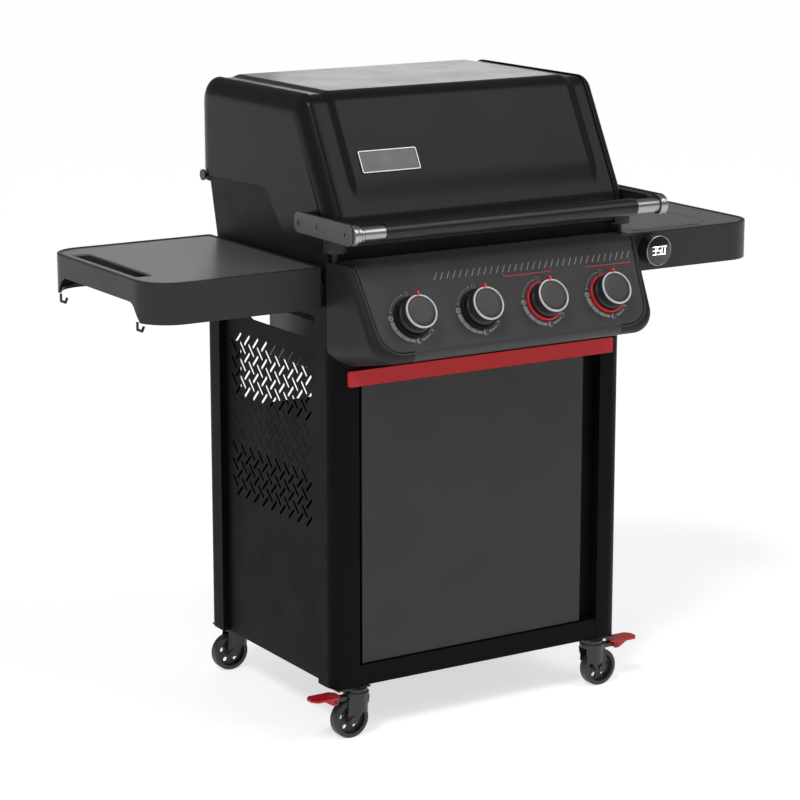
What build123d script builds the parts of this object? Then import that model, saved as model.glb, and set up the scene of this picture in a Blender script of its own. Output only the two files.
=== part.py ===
from build123d import *
import math
import os

# Gas barbecue grill on a wheeled cabinet cart. Millimetres, +X right, +Y to the rear, +Z up.
# Every shape is modelled with y = 0 at the cart's front plane and z = 0 on the floor, and
# is moved back by DEPTH_CENTRE when it is written, so the origin is the middle of the footprint.

# ---- driving dimensions: cart --------------------------------------------------------------------
DEPTH_CENTRE = 186.35
CART_HALF_WIDTH = 330.0
CART_DEPTH = 504.0
CART_BOTTOM = 100.0
POST_TOP = 889.0
POST_INNER = 275.0
POST_SIDE_DEPTH = 63.0
POST_RETURN_DEPTH = 25.6
POST_STOP_INNER = 262.0
POST_CORNER_RADIUS = 30.0
STEEL = 1.6
OVERCUT = 10.0
PANEL_OUTER = 318.0
PANEL_STEEL = 1.2
PANEL_GAP = 2.0
PANEL_BOTTOM = 101.0
PANEL_TOP = 850.0
VENT_FRONT, VENT_REAR, VENT_BOTTOM, VENT_TOP, VENT_RADIUS = 90.0, 343.0, 759.5, 838.0, 22.0
SLOT_LENGTH, SLOT_WIDTH, SLOT_PITCH_Y, SLOT_PITCH_Z, SLOT_COLUMNS = 31.0, 5.8, 34.0, 34.3, 9
SLOT_FIRST_Y, SLOT_FIRST_Z = 401.8, 695.9
SLOT_EMBOSS = 0.5
RAIL_TOP = 142.0
RAIL_DEPTH = 32.0
FLOOR_TOP = RAIL_TOP + PANEL_STEEL
BACK_PANEL_TOP = 551.0
CROSSBAR_BOTTOM, CROSSBAR_TOP, CROSSBAR_FRONT, CROSSBAR_HALF = 685.0, 715.0, -6.6, 300.0
CROSSBAR_CORNER = 4.0
DOOR_LEFT, DOOR_RIGHT, DOOR_BOTTOM, DOOR_TOP = -266.4, 237.1, 145.0, 681.5
DOOR_CORNER, HINGE_BLOCK_HEIGHT, HINGE_BLOCK_REACH, HINGE_PIN_LENGTH = 3.0, 25.0, 9.0, 15.0
JAMB_INNER, JAMB_GAP = 243.0, 1.0
CATCH_LEFT, CATCH_BOTTOM, CATCH_TOP, DOOR_GAP = 224.0, 182.0, 202.0, 0.4
RAIL_FRONT_FACE, RAIL_LIFT = 0.8, 2.0
GROOVE_HALF, GROOVE_BOTTOM, GROOVE_TOP, GROOVE_RADIUS, GROOVE_DEPTH = 257.0, 109.0, 118.0, 4.4, 0.6
FLOOR_INSET = 4.0
BACK_PANEL_GAP, BACK_PANEL_HALF = 2.0, 312.0
DOOR_FRONT, DOOR_REAR = 5.0, 19.0
DOOR_AXIS = (-262.0, 12.0)
DOOR_PIN_RADIUS, DOOR_PIN_CLEARANCE, DOOR_WASHER_GAP = 3.0, 0.05, 0.3

# ---- driving dimensions: cookbox and burners -----------------------------------------------------
BOX_HALF_WIDTH = 326.0
BOX_WALL = 4.0
BOX_STEP = POST_TOP
BOX_FRONT = 22.0
BOX_FRONT_RIM = 948.0
BOX_REAR_RIM = 1032.0
BOX_REAR_AT_STEP, BOX_REAR_AT_RIM = 444.4, 479.0
BOX_RISE_START, BOX_RISE_END, BOX_RISE_RADIUS = 150.0, 258.0, 20.0
TUB_HALF_WIDTH, TUB_FRONT, TUB_REAR = 300.0, 28.0, 440.0
TUB_BOTTOM, TUB_CORNER = 775.0, 12.0
TUB_BOTTOM_HALF_WIDTH, TUB_BOTTOM_FRONT, TUB_BOTTOM_REAR = 240.0, 70.0, 400.0
DRAIN_HALF_WIDTH, DRAIN_FRONT, DRAIN_REAR = 200.0, 120.0, 350.0
RAIL_WEB_INNER, RAIL_WEB_OUTER, RAIL_FOOT_INNER = 214.0, 217.0, 202.0
RAIL_FRONT, RAIL_REAR, RAIL_FOOT_BOTTOM, RAIL_FOOT_TOP = 100.0, 396.0, 755.0, 757.0
TRAY_HALF, TRAY_FRONT, TRAY_REAR, TRAY_STEEL, TRAY_LIP_END = 200.0, 104.0, 470.0, 1.5, 213.0
TRAY_TOP, TRAY_EDGE, TRAY_THROAT, TRAY_RUNNING_GAP = 772.0, 651.0, 612.0, 0.3
TRAY_PULL_HALF, TRAY_PULL_REACH, TRAY_PULL_DROP = 60.0, 18.0, 6.5
WELL_HALF, WELL_FRONT, WELL_REAR, WELL_BOTTOM = 72.0, 225.0, 349.0, 582.0
PAN_GAP, PAN_FOIL, PAN_TOP = 3.0, 0.8, 610.0
GRATE_TOP, GRATE_THICKNESS = 930.0, 14.0
GRATE_FRONT, GRATE_REAR = 30.0, 443.0
LEDGE_DEPTH, LEDGE_REAR = 8.0, 447.0
GRATE_LEFT, GRATE_RIGHT, GRATE_FRAME, GRATE_BRIDGE = 1.5, 319.0, 8.0, 4.0
GRATE_BAR_WIDTH, GRATE_BARS = 7.0, 17
STATION_PITCH = 145.5
STATIONS = [STATION_PITCH * (index - 1.5) for index in range(4)]
BURNER_RADIUS, BURNER_Z, BURNER_FRONT, BURNER_REAR = 11.0, 840.0, -5.0, 410.0
DEFLECTOR_PITCH, DEFLECTOR_Z, DEFLECTORS = 124.0, 868.0, 5
DEFLECTOR_HALF, DEFLECTOR_RISE, DEFLECTOR_STEEL, DEFLECTOR_GAP = 22.0, 24.0, 2.2, 17.0
BURNER_HOLE_GAP = 1.0
IGNITER_SIDE, IGNITER_LIFT, IGNITER_RADIUS, IGNITER_TIP_RADIUS = 6.0, 12.0, 2.5, 1.0
IGNITER_FRONT, IGNITER_SHOULDER, IGNITER_TIP = 48.0, 86.0, 100.0
RACK_LEVEL, RACK_WIRE, RACK_HALF, RACK_FRONT, RACK_REAR = 1052.0, 2.0, 324.0, 335.0, 452.0
RACK_LEG_INSET, RACK_GAPS, RACK_THIN_WIRE = 12.0, 36, 1.5
INLET_X, INLET_END, INLET_RADIUS = 261.5, 16.0, 8.0
INLET_LENGTH, INLET_NECK_RADIUS = 16.0, 6.0
MANIFOLD_LEFT, MANIFOLD_RIGHT, MANIFOLD_RADIUS, MANIFOLD_HEIGHT = -245.0, 270.5, 9.0, -70.0
VALVE_BACK, VALVE_FRONT, VALVE_RADIUS, STEM_SOCKET_BACK = -76.0, -28.0, 11.0, -54.0
ELBOW_HEIGHT, ELBOW_END, ELBOW_RADIUS = -46.0, -14.0, 5.0
NOZZLE_FRONT, NOZZLE_REAR, NOZZLE_RADIUS = -18.0, -6.0, 7.0
STEM_BACK, STEM_FRONT = -48.0, 24.0

# ---- driving dimensions: lid ---------------------------------------------------------------------
LID_HALF_WIDTH = 330.0
LID_BAND_INNER = 304.0
LID_SHEET_HALF = 315.0
LID_WALL = 2.5
SHEET_WALL = 2.0
SHEET_INSET = 3.0
LID_FRONT, LID_REAR = -2.0, 513.0
LID_FRONT_EDGE, LID_FRONT_BREAK, LID_TOP, LID_REAR_EDGE = 940.0, 998.0, 1214.0, 1022.0
LID_SLOPE = 0.54
LID_EDGE_FILLET = 18.0
LID_BREAK_RADIUS, LID_RIDGE_RADIUS, LID_REAR_RADIUS, LID_CORE_DROP = 30.0, 38.0, 50.0, 40.0
LID_SCOOP = ((147.0, 940.0, 40.0), (180.5, 957.0, 0), (247.5, 1016.0, 0), (264.0, 1028.0, 10.0))
LID_RIM_MARGIN, LID_EAR_RADIUS = 8.0, 15.0
LID_SHEET_LIFT, LID_SHEET_REAR_START = 2.0, 433.0
RAISED_HALF, RAISED_PROUD, RAISED_BOTTOM = 270.0, 5.0, 1037.0
HINGE_Y, HINGE_Z = 493.0, 1021.0
HINGE_PIN_RADIUS, HINGE_CLEARANCE = 4.0, 0.06
LUG_INNER, LUG_OUTER, LUG_RADIUS = 317.5, 321.5, 12.0
LUG_ROOT_LOW, LUG_ROOT_HIGH, LUG_ROOT_TOP = 471.6, 476.4, 1030.0
PIN_HOLE_EASE, PIN_CLIP, PIN_CLIP_RADIUS = 0.02, 2.5, 7.0
PIN_HEAD_GAP, PIN_HEAD_END, PIN_HEAD_RADIUS = 0.3, 4.0, 11.0
HANDLE_Y, HANDLE_Z, HANDLE_RADIUS, HANDLE_WALL, HANDLE_HALF = -92.9, 984.7, 16.5, 1.5, 279.0
FERRULE_RADIUS, FERRULE_END, COLLAR_RADIUS, COLLAR_END = 13.5, 331.0, 18.5, 347.5
BRACKET_BOTTOM, BRACKET_TOP, BRACKET_REAR = 965.0, 1004.0, 104.0
BRACKET_FRONT, BRACKET_PLATE = -101.0, 3.0
BRACKET_SCREWS = (86.4, 18.4, -80.6)
BRACKET_CORNER = 14.0
ARM_FRONT, ARM_REAR_INSET, ARM_INSET, ARM_CORNER, ARM_NOTCH_START = -68.0, 6.0, 3.0, 6.0, 329.0
WEB_FRONT, WEB_HALF, COLLAR_GAP = -76.0, 10.0, 0.3
SCREW_HOLE_START, SCREW_HOLE_RADIUS = 332.0, 2.6
SCREW_RADIUS, SCREW_DEPTH, SCREW_HEAD_RADIUS, SCREW_HEAD_HEIGHT = 2.5, 12.0, 5.5, 2.4
BUMPER = dict(x=320.0, y=9.0, radius=21.0, bottom=937.0, top=965.0, gap=0.4, stud=6.0, tab=9.0, tab_front=10.0,
              tab_rear=14.0, tab_depth=4.0, inner=274.0, side_gap=2.0, wall_gap=2.5)
BADGE = dict(x=-181.5, z=1090.0, width=126.2, height=44.0, thickness=3.0, corner=4.0)

# ---- driving dimensions: control panel -----------------------------------------------------------
FACE_TILT = 28.0
FACE_Y, FACE_Z = -93.7, 823.3
CONSOLE_TOP, CONSOLE_REAR, CONSOLE_BOTTOM_REAR = 918.0, 20.0, 718.0
CONSOLE_LIP = 749.0
CONSOLE_HALF_TOP, CONSOLE_HALF_LOW, CONSOLE_HALF_REAR = 322.0, 312.0, 332.0
CONSOLE_CORNER, CONSOLE_EDGE, CONSOLE_WALL = 48.0, 16.0, 2.5
CREASE_HALF_TOP, CREASE_HALF_LOW, CREASE_BOTTOM, CREASE_CORNER = 310.0, 292.0, 767.0, 45.0
SEAM_X = 231.0
CREASE_DEPTH, CREASE_OVERRUN, CREASE_TOP_FRONT, CREASE_TOP_BOTTOM = 3.5, 30.0, -60.0, 906.0
CONSOLE_SHOULDER, CONSOLE_OVERRUN, CONSOLE_LIP_HEIGHT = 907.0, 60.0, 6.0
POST_ROOM_GAP, POST_ROOM_RISE, POST_ROOM_CHEEK = 1.5, 2.0, 3.7
REACH, TOUCH = 400.0, 0.01
STEM_HOLE_RADIUS = 8.0
KNOB_RADIUS, KNOB_SKIRT, KNOB_FRONT, KNOB_BACK = 32.0, 33.5, 38.0, 7.0
KNOB_TRAVEL, KNOB_WAIST, KNOB_SKIRT_DEPTH, KNOB_CAP_INSET, KNOB_BORE_END = 3.0, 1.0, 9.0, 1.0, 26.0
KNOB_RING_DEPTH, KNOB_RING_WIDTH = 4.0, 2.6
POINTER_HALF, POINTER_INSIDE, POINTER_OUTSIDE, POINTER_CORNER = 2.2, 3.0, 3.4, 1.0
POINTER_GAP, POINTER_PROUD = 0.6, 2.0
STEM_RADIUS, STEM_CLEARANCE = 4.0, 0.05
BEZEL_OUTER, BEZEL_INNER, BEZEL_HEIGHT, BEZEL_CHAMFER = 38.5, 34.8, 7.0, 1.5

# ---- driving dimensions: shelves -----------------------------------------------------------------
SHELF_INNER, SHELF_OUTER, SHELF_FRONT, SHELF_REAR = 333.5, 684.3, 27.0, 464.0
SHELF_BOTTOM, SHELF_TOP = 832.3, 908.4
SHELF_FRONT_RADIUS, SHELF_REAR_RADIUS, SHELF_INNER_RADIUS = 68.0, 60.0, 8.0
SHELF_WALL, SHELF_BEAD, SHELF_RIM, SHELF_LEDGE = 2.5, 7.0, 9.0, 19.0
SHELF_END_RAISE, SHELF_END_FRONT, SHELF_END_REAR = 866.0, 105.0, 395.0
SHELF_LEAST_RADIUS, SHELF_EDGE_RADIUS, CORNER_ZONE = 1.0, 2.0, 22.0
LEDGE_DROP, PLATE_DROP, PLATE_SINK, PLATE_GAP = 8.0, 5.0, 1.5, 0.5
ARCH_FLARE, ARCH_RADIUS = 34.0, 24.0
SHELF_PADS = ((34.0, 60.0), (444.0, 461.0))
SHELF_PAD_BOTTOM, SHELF_PAD_TOP = 846.3, 878.4
LEFT_SLOT = (-665.3, -631.0, 122.0, 396.0, 10.0)
RIGHT_SLOT = (392.0, 560.0, 53.0, 64.0, 5.4)
RIGHT_GROOVE_OUTER = (372.0, 596.0, 78.0, 428.0, 14.0)
RIGHT_GROOVE_INNER, GROOVE_SINK = (374.5, 593.5, 80.5, 425.5, 12.0), 2.3
HOOK_Y, HOOK_DROPS, HOOK_TOE, HOOK_TIP, HOOK_RADIUS = (92.0, 412.0), (14.0, 18.0, 9.0), 9.0, 13.0, 2.5
DISPLAY = dict(x=411.0, z=875.0, radius=30.0, front=-3.0, ring_depth=2.0, ring_width=2.0)

# ---- driving dimensions: casters -----------------------------------------------------------------
SWIVEL_X = 276.0
SWIVEL_Y = (14.0, 490.0)
WHEEL_TRAIL, WHEEL_RADIUS, WHEEL_WIDTH = 15.0, 37.5, 22.0
AXLE_RADIUS, AXLE_CLEARANCE = 4.0, 0.05
FORK_GAP, FORK_STEEL = 12.2, 2.5
CROWN_RADIUS, CROWN_BOTTOM, CROWN_TOP = 25.0, 82.0, 90.0
SWIVEL_PIN_RADIUS = 5.0
LEVER_PIVOT_X, LEVER_PIVOT_Z, LEVER_PIN_RADIUS = 51.0, 79.0, 3.0
SWIVEL_HEAD_RADIUS, PIN_HEAD_DEPTH, SWIVEL_GAP, RACE_RADIUS = 8.0, 3.0, 0.3, 22.0
MOUNT_INSET, MOUNT_LENGTH, MOUNT_OUTER, MOUNT_BOTTOM = 1.0, 44.0, 322.0, 97.0
LEG_HALF, LEG_FOOT, LEG_RADIUS = 22.0, 8.5, 8.0
LEG_REAR_BEND, LEG_FRONT_BEND = ((-20.0, 68.0, 8.0),), ((25.0, 64.0, 8.0),)
HOUSING_INSET, HOUSING_BOTTOM = 2.0, 52.0
AXLE_CAP_RADIUS, AXLE_CAP_DEPTH = 7.0, 3.0
ARM_START, LEVER_ARM_BOTTOM, LEVER_ARM_TOP = 18.0, 76.4, 84.0
PIVOT_BOSS_HALF, PIVOT_BOSS_RADIUS, PIVOT_PIN_HALF = 9.0, 5.0, 15.0
TYRE_EDGE, TYRE_DEPTH, WEB_HALF_THICKNESS, HUB_RADIUS = 4.0, 9.0, 2.5, 10.0
WEB_HOLES, WEB_HOLE_PITCH, WEB_HOLE_RADIUS = 5, 19.0, 5.0
TREAD_BOTTOM, TREAD_TOP = 86.0, 89.5
TREAD_EDGE = [(40.0, 10.0, 3.0), (50.0, 19.5, 4.0), (94.0, 19.5, 5.0), (103.0, 8.0, 4.0)]
CHEEK_START, CHEEK_TOE, CHEEK_END, CHEEK_DROP, CHEEK_RADIUS = 46.0, 58.0, 80.0, 6.0, 3.0
CHEEK_INNER, CHEEK_OUTER = 10.5, 13.5
CASTER_REACH = 60.0

ORIGIN_SHIFT = Pos(0, -DEPTH_CENTRE, 0)
FACE_NORMAL = Vector(0, -math.cos(math.radians(FACE_TILT)), math.sin(math.radians(FACE_TILT)))


# ---- geometry helpers ----------------------------------------------------------------------------
def outline(corners):
    """Closed face through (u, v, radius) corners; a radius of 0 leaves a corner sharp."""
    starts, middles, ends = [], [], []
    for index, (u, v, radius) in enumerate(corners):
        here = Vector(u, v)
        before = (Vector(*corners[index - 1][:2]) - here).normalized()
        after = (Vector(*corners[(index + 1) % len(corners)][:2]) - here).normalized()
        half_angle = math.radians(before.get_angle(after)) / 2
        reach = radius / math.tan(half_angle)
        starts.append(here + before * reach)
        ends.append(here + after * reach)
        middles.append(here + (before + after).normalized() * (radius / math.sin(half_angle) - radius))
    edges = []
    for index in range(len(corners)):
        if corners[index][2] > 0:
            edges.append(Edge.make_three_point_arc(starts[index], middles[index], ends[index]))
        following = (index + 1) % len(corners)
        edges.append(Edge.make_line(ends[index], starts[following]))
    return Face(Wire(edges))


def rectangle(u0, u1, v0, v1, radius=0.0):
    """Closed rectangular face between two corners, with one radius for all four."""
    return outline([(u0, v0, radius), (u1, v0, radius), (u1, v1, radius), (u0, v1, radius)])


def prism_x(face, x0, x1):
    """Extrude a face drawn in (y, z) from x0 to x1."""
    return extrude(Plane.YZ.offset(x0).location * face, amount=x1 - x0, dir=(1, 0, 0))


def prism_y(face, y0, y1):
    """Extrude a face drawn in (x, z) from y0 to y1."""
    return extrude(Plane.XZ.offset(-y1).location * face, amount=y1 - y0, dir=(0, -1, 0))


def prism_z(face, z0, z1):
    """Extrude a face drawn in (x, y) from z0 to z1."""
    return extrude(Plane.XY.offset(z0).location * face, amount=z1 - z0, dir=(0, 0, 1))


def block(x0, x1, y0, y1, z0, z1):
    """Box between two corners."""
    return Pos(x0, y0, z0) * Box(x1 - x0, y1 - y0, z1 - z0, align=(Align.MIN, Align.MIN, Align.MIN))


def rod(start, end, radius):
    """Round bar between two points."""
    start, end = Vector(*start), Vector(*end)
    along = end - start
    return extrude(Plane(origin=start, z_dir=along).location * Face(Wire.make_circle(radius)), along.length)


def both_sides(shape):
    """The shape and its mirror image in the grill's middle plane."""
    return [shape, mirror(shape, about=Plane.YZ)]


def group(shapes):
    """Several separate solids as one part."""
    return Compound([solid for shape in shapes for solid in shape.solids()])


def write(name, shape):
    """Write one part's solids at their final place."""
    placed = [ORIGIN_SHIFT * solid for solid in shape.solids()]
    export_step(placed[0] if len(placed) == 1 else Compound(placed), f"parts/{name}.step")


# ---- cart ----------------------------------------------------------------------------------------
def corner_post():
    """Right front post: folded steel with a rounded outer corner and a door stop flange."""
    outer = outline([(POST_INNER, 0, 0), (CART_HALF_WIDTH, 0, POST_CORNER_RADIUS),
                     (CART_HALF_WIDTH, POST_SIDE_DEPTH, 0), (POST_INNER, POST_SIDE_DEPTH, 0)])
    inner = outline([(POST_INNER + STEEL, STEEL, 0),
                     (CART_HALF_WIDTH - STEEL, STEEL, POST_CORNER_RADIUS - STEEL),
                     (CART_HALF_WIDTH - STEEL, POST_SIDE_DEPTH - STEEL, 0),
                     (POST_INNER + STEEL, POST_SIDE_DEPTH - STEEL, 0)])
    side_return = PANEL_OUTER - PANEL_GAP
    post = prism_z(outer, CART_BOTTOM, POST_TOP) - prism_z(inner, CART_BOTTOM, POST_TOP)
    post -= block(0, side_return, POST_RETURN_DEPTH, CART_DEPTH, CART_BOTTOM, POST_TOP)
    post += block(POST_STOP_INNER, POST_INNER + STEEL, POST_RETURN_DEPTH - STEEL, POST_RETURN_DEPTH,
                  CART_BOTTOM, CROSSBAR_BOTTOM)
    return post


def corner_posts():
    """The four posts, the rear pair being the front pair turned round."""
    front = both_sides(corner_post())
    rear = [mirror(post, about=Plane.XZ.offset(-CART_DEPTH / 2)) for post in front]
    jamb = block(JAMB_INNER, POST_INNER, POST_RETURN_DEPTH - STEEL, POST_RETURN_DEPTH,
                 FLOOR_TOP + JAMB_GAP, CROSSBAR_BOTTOM)
    front[0] += jamb
    return group(front + rear)


def herringbone(rows_falling, rows_rising):
    """Slots at 45 degrees in (y, z): one set falls towards the front, the other rises."""
    slots = []
    for column in range(SLOT_COLUMNS):
        for row in rows_falling:
            y = SLOT_FIRST_Y - column * SLOT_PITCH_Y
            z = SLOT_FIRST_Z - row * SLOT_PITCH_Z
            slots.append(Pos(y, z) * Rot(0, 0, 45) * SlotOverall(SLOT_LENGTH, SLOT_WIDTH))
        for row in rows_rising:
            y = SLOT_FIRST_Y - (column + 0.5) * SLOT_PITCH_Y
            z = SLOT_FIRST_Z - (row - 0.5) * SLOT_PITCH_Z
            slots.append(Pos(y, z) * Rot(0, 0, -45) * SlotOverall(SLOT_LENGTH, SLOT_WIDTH))
    return slots


def side_panel():
    """Right side panel: sheet with a vent opening, cut herringbone slots and pressed ones between."""
    sheet = Sketch() + Face(Wire.make_polygon([
        (POST_SIDE_DEPTH, PANEL_BOTTOM), (CART_DEPTH - POST_SIDE_DEPTH, PANEL_BOTTOM),
        (CART_DEPTH - POST_SIDE_DEPTH, PANEL_TOP), (POST_SIDE_DEPTH, PANEL_TOP)]))
    sheet -= Sketch() + rectangle(VENT_FRONT, VENT_REAR, VENT_BOTTOM, VENT_TOP, VENT_RADIUS)
    sheet -= herringbone((0, 1, 2, 6, 7, 8), (0, 1, 2, 3, 7, 8, 9))
    panel = prism_x(sheet, PANEL_OUTER - PANEL_STEEL, PANEL_OUTER)
    pressed = Sketch() + herringbone((3, 4, 5), (4, 5, 6))
    return panel - prism_x(pressed, PANEL_OUTER - SLOT_EMBOSS, PANEL_OUTER)


def cabinet_floor():
    """Floor sheet between the side panels, narrowed between the posts."""
    wide = block(-PANEL_OUTER + PANEL_STEEL, PANEL_OUTER - PANEL_STEEL, POST_SIDE_DEPTH,
                 CART_DEPTH - POST_SIDE_DEPTH, RAIL_TOP, FLOOR_TOP)
    narrow = block(-POST_STOP_INNER, POST_STOP_INNER, FLOOR_INSET, CART_DEPTH - FLOOR_INSET,
                   RAIL_TOP, FLOOR_TOP)
    return wide + narrow


def bottom_rails():
    """Front and rear channel rails with a long pressed groove in the outer face."""
    low = CART_BOTTOM + RAIL_LIFT
    outer = rectangle(RAIL_FRONT_FACE, RAIL_DEPTH, low, RAIL_TOP)
    inner = rectangle(RAIL_FRONT_FACE + STEEL, RAIL_DEPTH, low + STEEL, RAIL_TOP - STEEL)
    rail = prism_x(outer, -POST_INNER, POST_INNER) - prism_x(inner, -POST_INNER, POST_INNER)
    stops = block(POST_STOP_INNER, POST_INNER, POST_RETURN_DEPTH - STEEL, RAIL_DEPTH, CART_BOTTOM, RAIL_TOP)
    for stop in both_sides(stops):
        rail -= stop
    groove = rectangle(-GROOVE_HALF, GROOVE_HALF, GROOVE_BOTTOM, GROOVE_TOP, GROOVE_RADIUS)
    front = rail - prism_y(groove, RAIL_FRONT_FACE, RAIL_FRONT_FACE + GROOVE_DEPTH)
    return group([front, mirror(rail, about=Plane.XZ.offset(-CART_DEPTH / 2))])


def back_panel():
    """Sheet closing the lower part of the cabinet's rear."""
    rear = CART_DEPTH - POST_RETURN_DEPTH - BACK_PANEL_GAP
    return block(-BACK_PANEL_HALF, BACK_PANEL_HALF, rear - PANEL_STEEL, rear, FLOOR_TOP, BACK_PANEL_TOP)


def front_crossbar():
    """Channel bar across the front above the door, standing proud of the posts."""
    proud = prism_y(rectangle(-CROSSBAR_HALF, CROSSBAR_HALF, CROSSBAR_BOTTOM, CROSSBAR_TOP, CROSSBAR_CORNER),
                    CROSSBAR_FRONT, 0)
    behind = block(-POST_INNER, POST_INNER, 0, RAIL_DEPTH, CROSSBAR_BOTTOM, CROSSBAR_TOP)
    hollow = block(-CROSSBAR_HALF + STEEL, CROSSBAR_HALF - STEEL, CROSSBAR_FRONT + STEEL, RAIL_DEPTH,
                   CROSSBAR_BOTTOM + STEEL, CROSSBAR_TOP - STEEL)
    return proud + behind - hollow


def door():
    """Pan-shaped door with hinge blocks in its left corners."""
    front = rectangle(DOOR_LEFT, DOOR_RIGHT, DOOR_BOTTOM, DOOR_TOP, DOOR_CORNER)
    shell = prism_y(front, DOOR_FRONT, DOOR_REAR)
    shell -= block(DOOR_LEFT + PANEL_STEEL, DOOR_RIGHT - PANEL_STEEL, DOOR_FRONT + PANEL_STEEL, DOOR_REAR,
                   DOOR_BOTTOM + PANEL_STEEL, DOOR_TOP - PANEL_STEEL)
    for low in (DOOR_BOTTOM, DOOR_TOP - HINGE_BLOCK_HEIGHT):
        shell += block(DOOR_LEFT + PANEL_STEEL, DOOR_AXIS[0] + HINGE_BLOCK_REACH, DOOR_FRONT + PANEL_STEEL,
                       DOOR_REAR, low, low + HINGE_BLOCK_HEIGHT)
    bore = rod((*DOOR_AXIS, DOOR_BOTTOM), (*DOOR_AXIS, DOOR_TOP), DOOR_PIN_RADIUS + DOOR_PIN_CLEARANCE)
    return shell - bore


def door_hinge_pins():
    """Lower and upper hinge pins with their washers, and the magnetic catch on the right jamb."""
    foot, ceiling = (*DOOR_AXIS, FLOOR_TOP), (*DOOR_AXIS, CROSSBAR_BOTTOM)
    lower = rod(foot, (*DOOR_AXIS, DOOR_BOTTOM + HINGE_PIN_LENGTH), DOOR_PIN_RADIUS)
    lower += rod(foot, (*DOOR_AXIS, DOOR_BOTTOM - DOOR_WASHER_GAP), DOOR_PIN_RADIUS * 2)
    upper = rod((*DOOR_AXIS, DOOR_TOP - HINGE_PIN_LENGTH), ceiling, DOOR_PIN_RADIUS)
    upper += rod((*DOOR_AXIS, DOOR_TOP + DOOR_WASHER_GAP), ceiling, DOOR_PIN_RADIUS * 2)
    catch = block(CATCH_LEFT, JAMB_INNER, DOOR_REAR + DOOR_GAP, POST_RETURN_DEPTH, CATCH_BOTTOM, CATCH_TOP)
    return group([lower, upper, catch])


# ---- cookbox -------------------------------------------------------------------------------------
def cookbox_profile(inset):
    """Side outline of the cookbox above its step, drawn in by the wall on the closed sides."""
    lean = (BOX_REAR_AT_RIM - BOX_REAR_AT_STEP) / (BOX_REAR_RIM - BOX_STEP)
    rear_low = BOX_REAR_AT_STEP - inset * math.hypot(1, lean) + inset * lean
    rear_high = BOX_REAR_AT_RIM - inset * math.hypot(1, lean)
    return outline([(BOX_FRONT + inset, BOX_STEP + inset, 0), (rear_low, BOX_STEP + inset, 0),
                    (rear_high, BOX_REAR_RIM, 0), (BOX_RISE_END, BOX_REAR_RIM, BOX_RISE_RADIUS),
                    (BOX_RISE_START, BOX_FRONT_RIM, BOX_RISE_RADIUS), (BOX_FRONT + inset, BOX_FRONT_RIM, 0)])


def tub(inset):
    """Tapering lower body of the cookbox between the posts."""
    top = rectangle(-TUB_HALF_WIDTH + inset, TUB_HALF_WIDTH - inset, TUB_FRONT + inset, TUB_REAR - inset,
                    TUB_CORNER)
    low = rectangle(-TUB_BOTTOM_HALF_WIDTH + inset, TUB_BOTTOM_HALF_WIDTH - inset,
                    TUB_BOTTOM_FRONT + inset, TUB_BOTTOM_REAR - inset, TUB_CORNER)
    return Solid.make_loft([(Pos(0, 0, TUB_BOTTOM + inset) * low).outer_wire(),
                            (Pos(0, 0, BOX_STEP + inset) * top).outer_wire()], ruled=True)


def cookbox():
    """Cast cookbox: stepped tub with burner holes, grate ledges, hinge lugs and tray rails."""
    shell = prism_x(cookbox_profile(0.0), -BOX_HALF_WIDTH, BOX_HALF_WIDTH) + tub(0.0)
    half_inside, front_inside = BOX_HALF_WIDTH - BOX_WALL, BOX_FRONT + BOX_WALL
    cavity = prism_x(cookbox_profile(BOX_WALL), -half_inside, half_inside)
    cavity += block(-half_inside, half_inside, front_inside, BOX_RISE_END,
                    BOX_FRONT_RIM - BOX_WALL, BOX_REAR_RIM)
    shell = shell - cavity - tub(BOX_WALL)
    shell -= block(-DRAIN_HALF_WIDTH, DRAIN_HALF_WIDTH, DRAIN_FRONT, DRAIN_REAR,
                   TUB_BOTTOM, TUB_BOTTOM + BOX_WALL)
    ledge_top = GRATE_TOP - GRATE_THICKNESS
    ledge_bottom = ledge_top - LEDGE_DEPTH
    ledge = block(-half_inside, half_inside, front_inside, GRATE_FRONT + LEDGE_DEPTH, ledge_bottom, ledge_top)
    rear_ledge = block(-half_inside, half_inside, GRATE_REAR - LEDGE_DEPTH, LEDGE_REAR, ledge_bottom, ledge_top)
    shell = shell + ledge + rear_ledge
    for lug in both_sides(hinge_lug()):
        shell += lug
    for rail in both_sides(tray_rail()):
        shell += rail
    for x in STATIONS:
        shell -= rod((x, 0, BURNER_Z), (x, DRAIN_FRONT, BURNER_Z), BURNER_RADIUS + BURNER_HOLE_GAP)
    return shell


def hinge_lug():
    """Ear on the cookbox's rear wall that carries the right hinge pin."""
    inner, outer = (LUG_INNER, HINGE_Y, HINGE_Z), (LUG_OUTER, HINGE_Y, HINGE_Z)
    arm = prism_x(outline([(HINGE_Y, HINGE_Z - LUG_RADIUS, 0), (HINGE_Y, HINGE_Z + LUG_RADIUS, 0),
                           (LUG_ROOT_HIGH, LUG_ROOT_TOP, 0), (LUG_ROOT_LOW, HINGE_Z - LUG_RADIUS, 0)]),
                  LUG_INNER, LUG_OUTER)
    return arm + rod(inner, outer, LUG_RADIUS) - rod(inner, outer, HINGE_PIN_RADIUS + PIN_HOLE_EASE)


def tray_rail():
    """L-shaped rail under the tub that the grease tray slides on."""
    web = block(RAIL_WEB_INNER, RAIL_WEB_OUTER, RAIL_FRONT, RAIL_REAR, RAIL_FOOT_BOTTOM, TUB_BOTTOM)
    return web + block(RAIL_FOOT_INNER, RAIL_WEB_OUTER, RAIL_FRONT, RAIL_REAR, RAIL_FOOT_BOTTOM, RAIL_FOOT_TOP)


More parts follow.
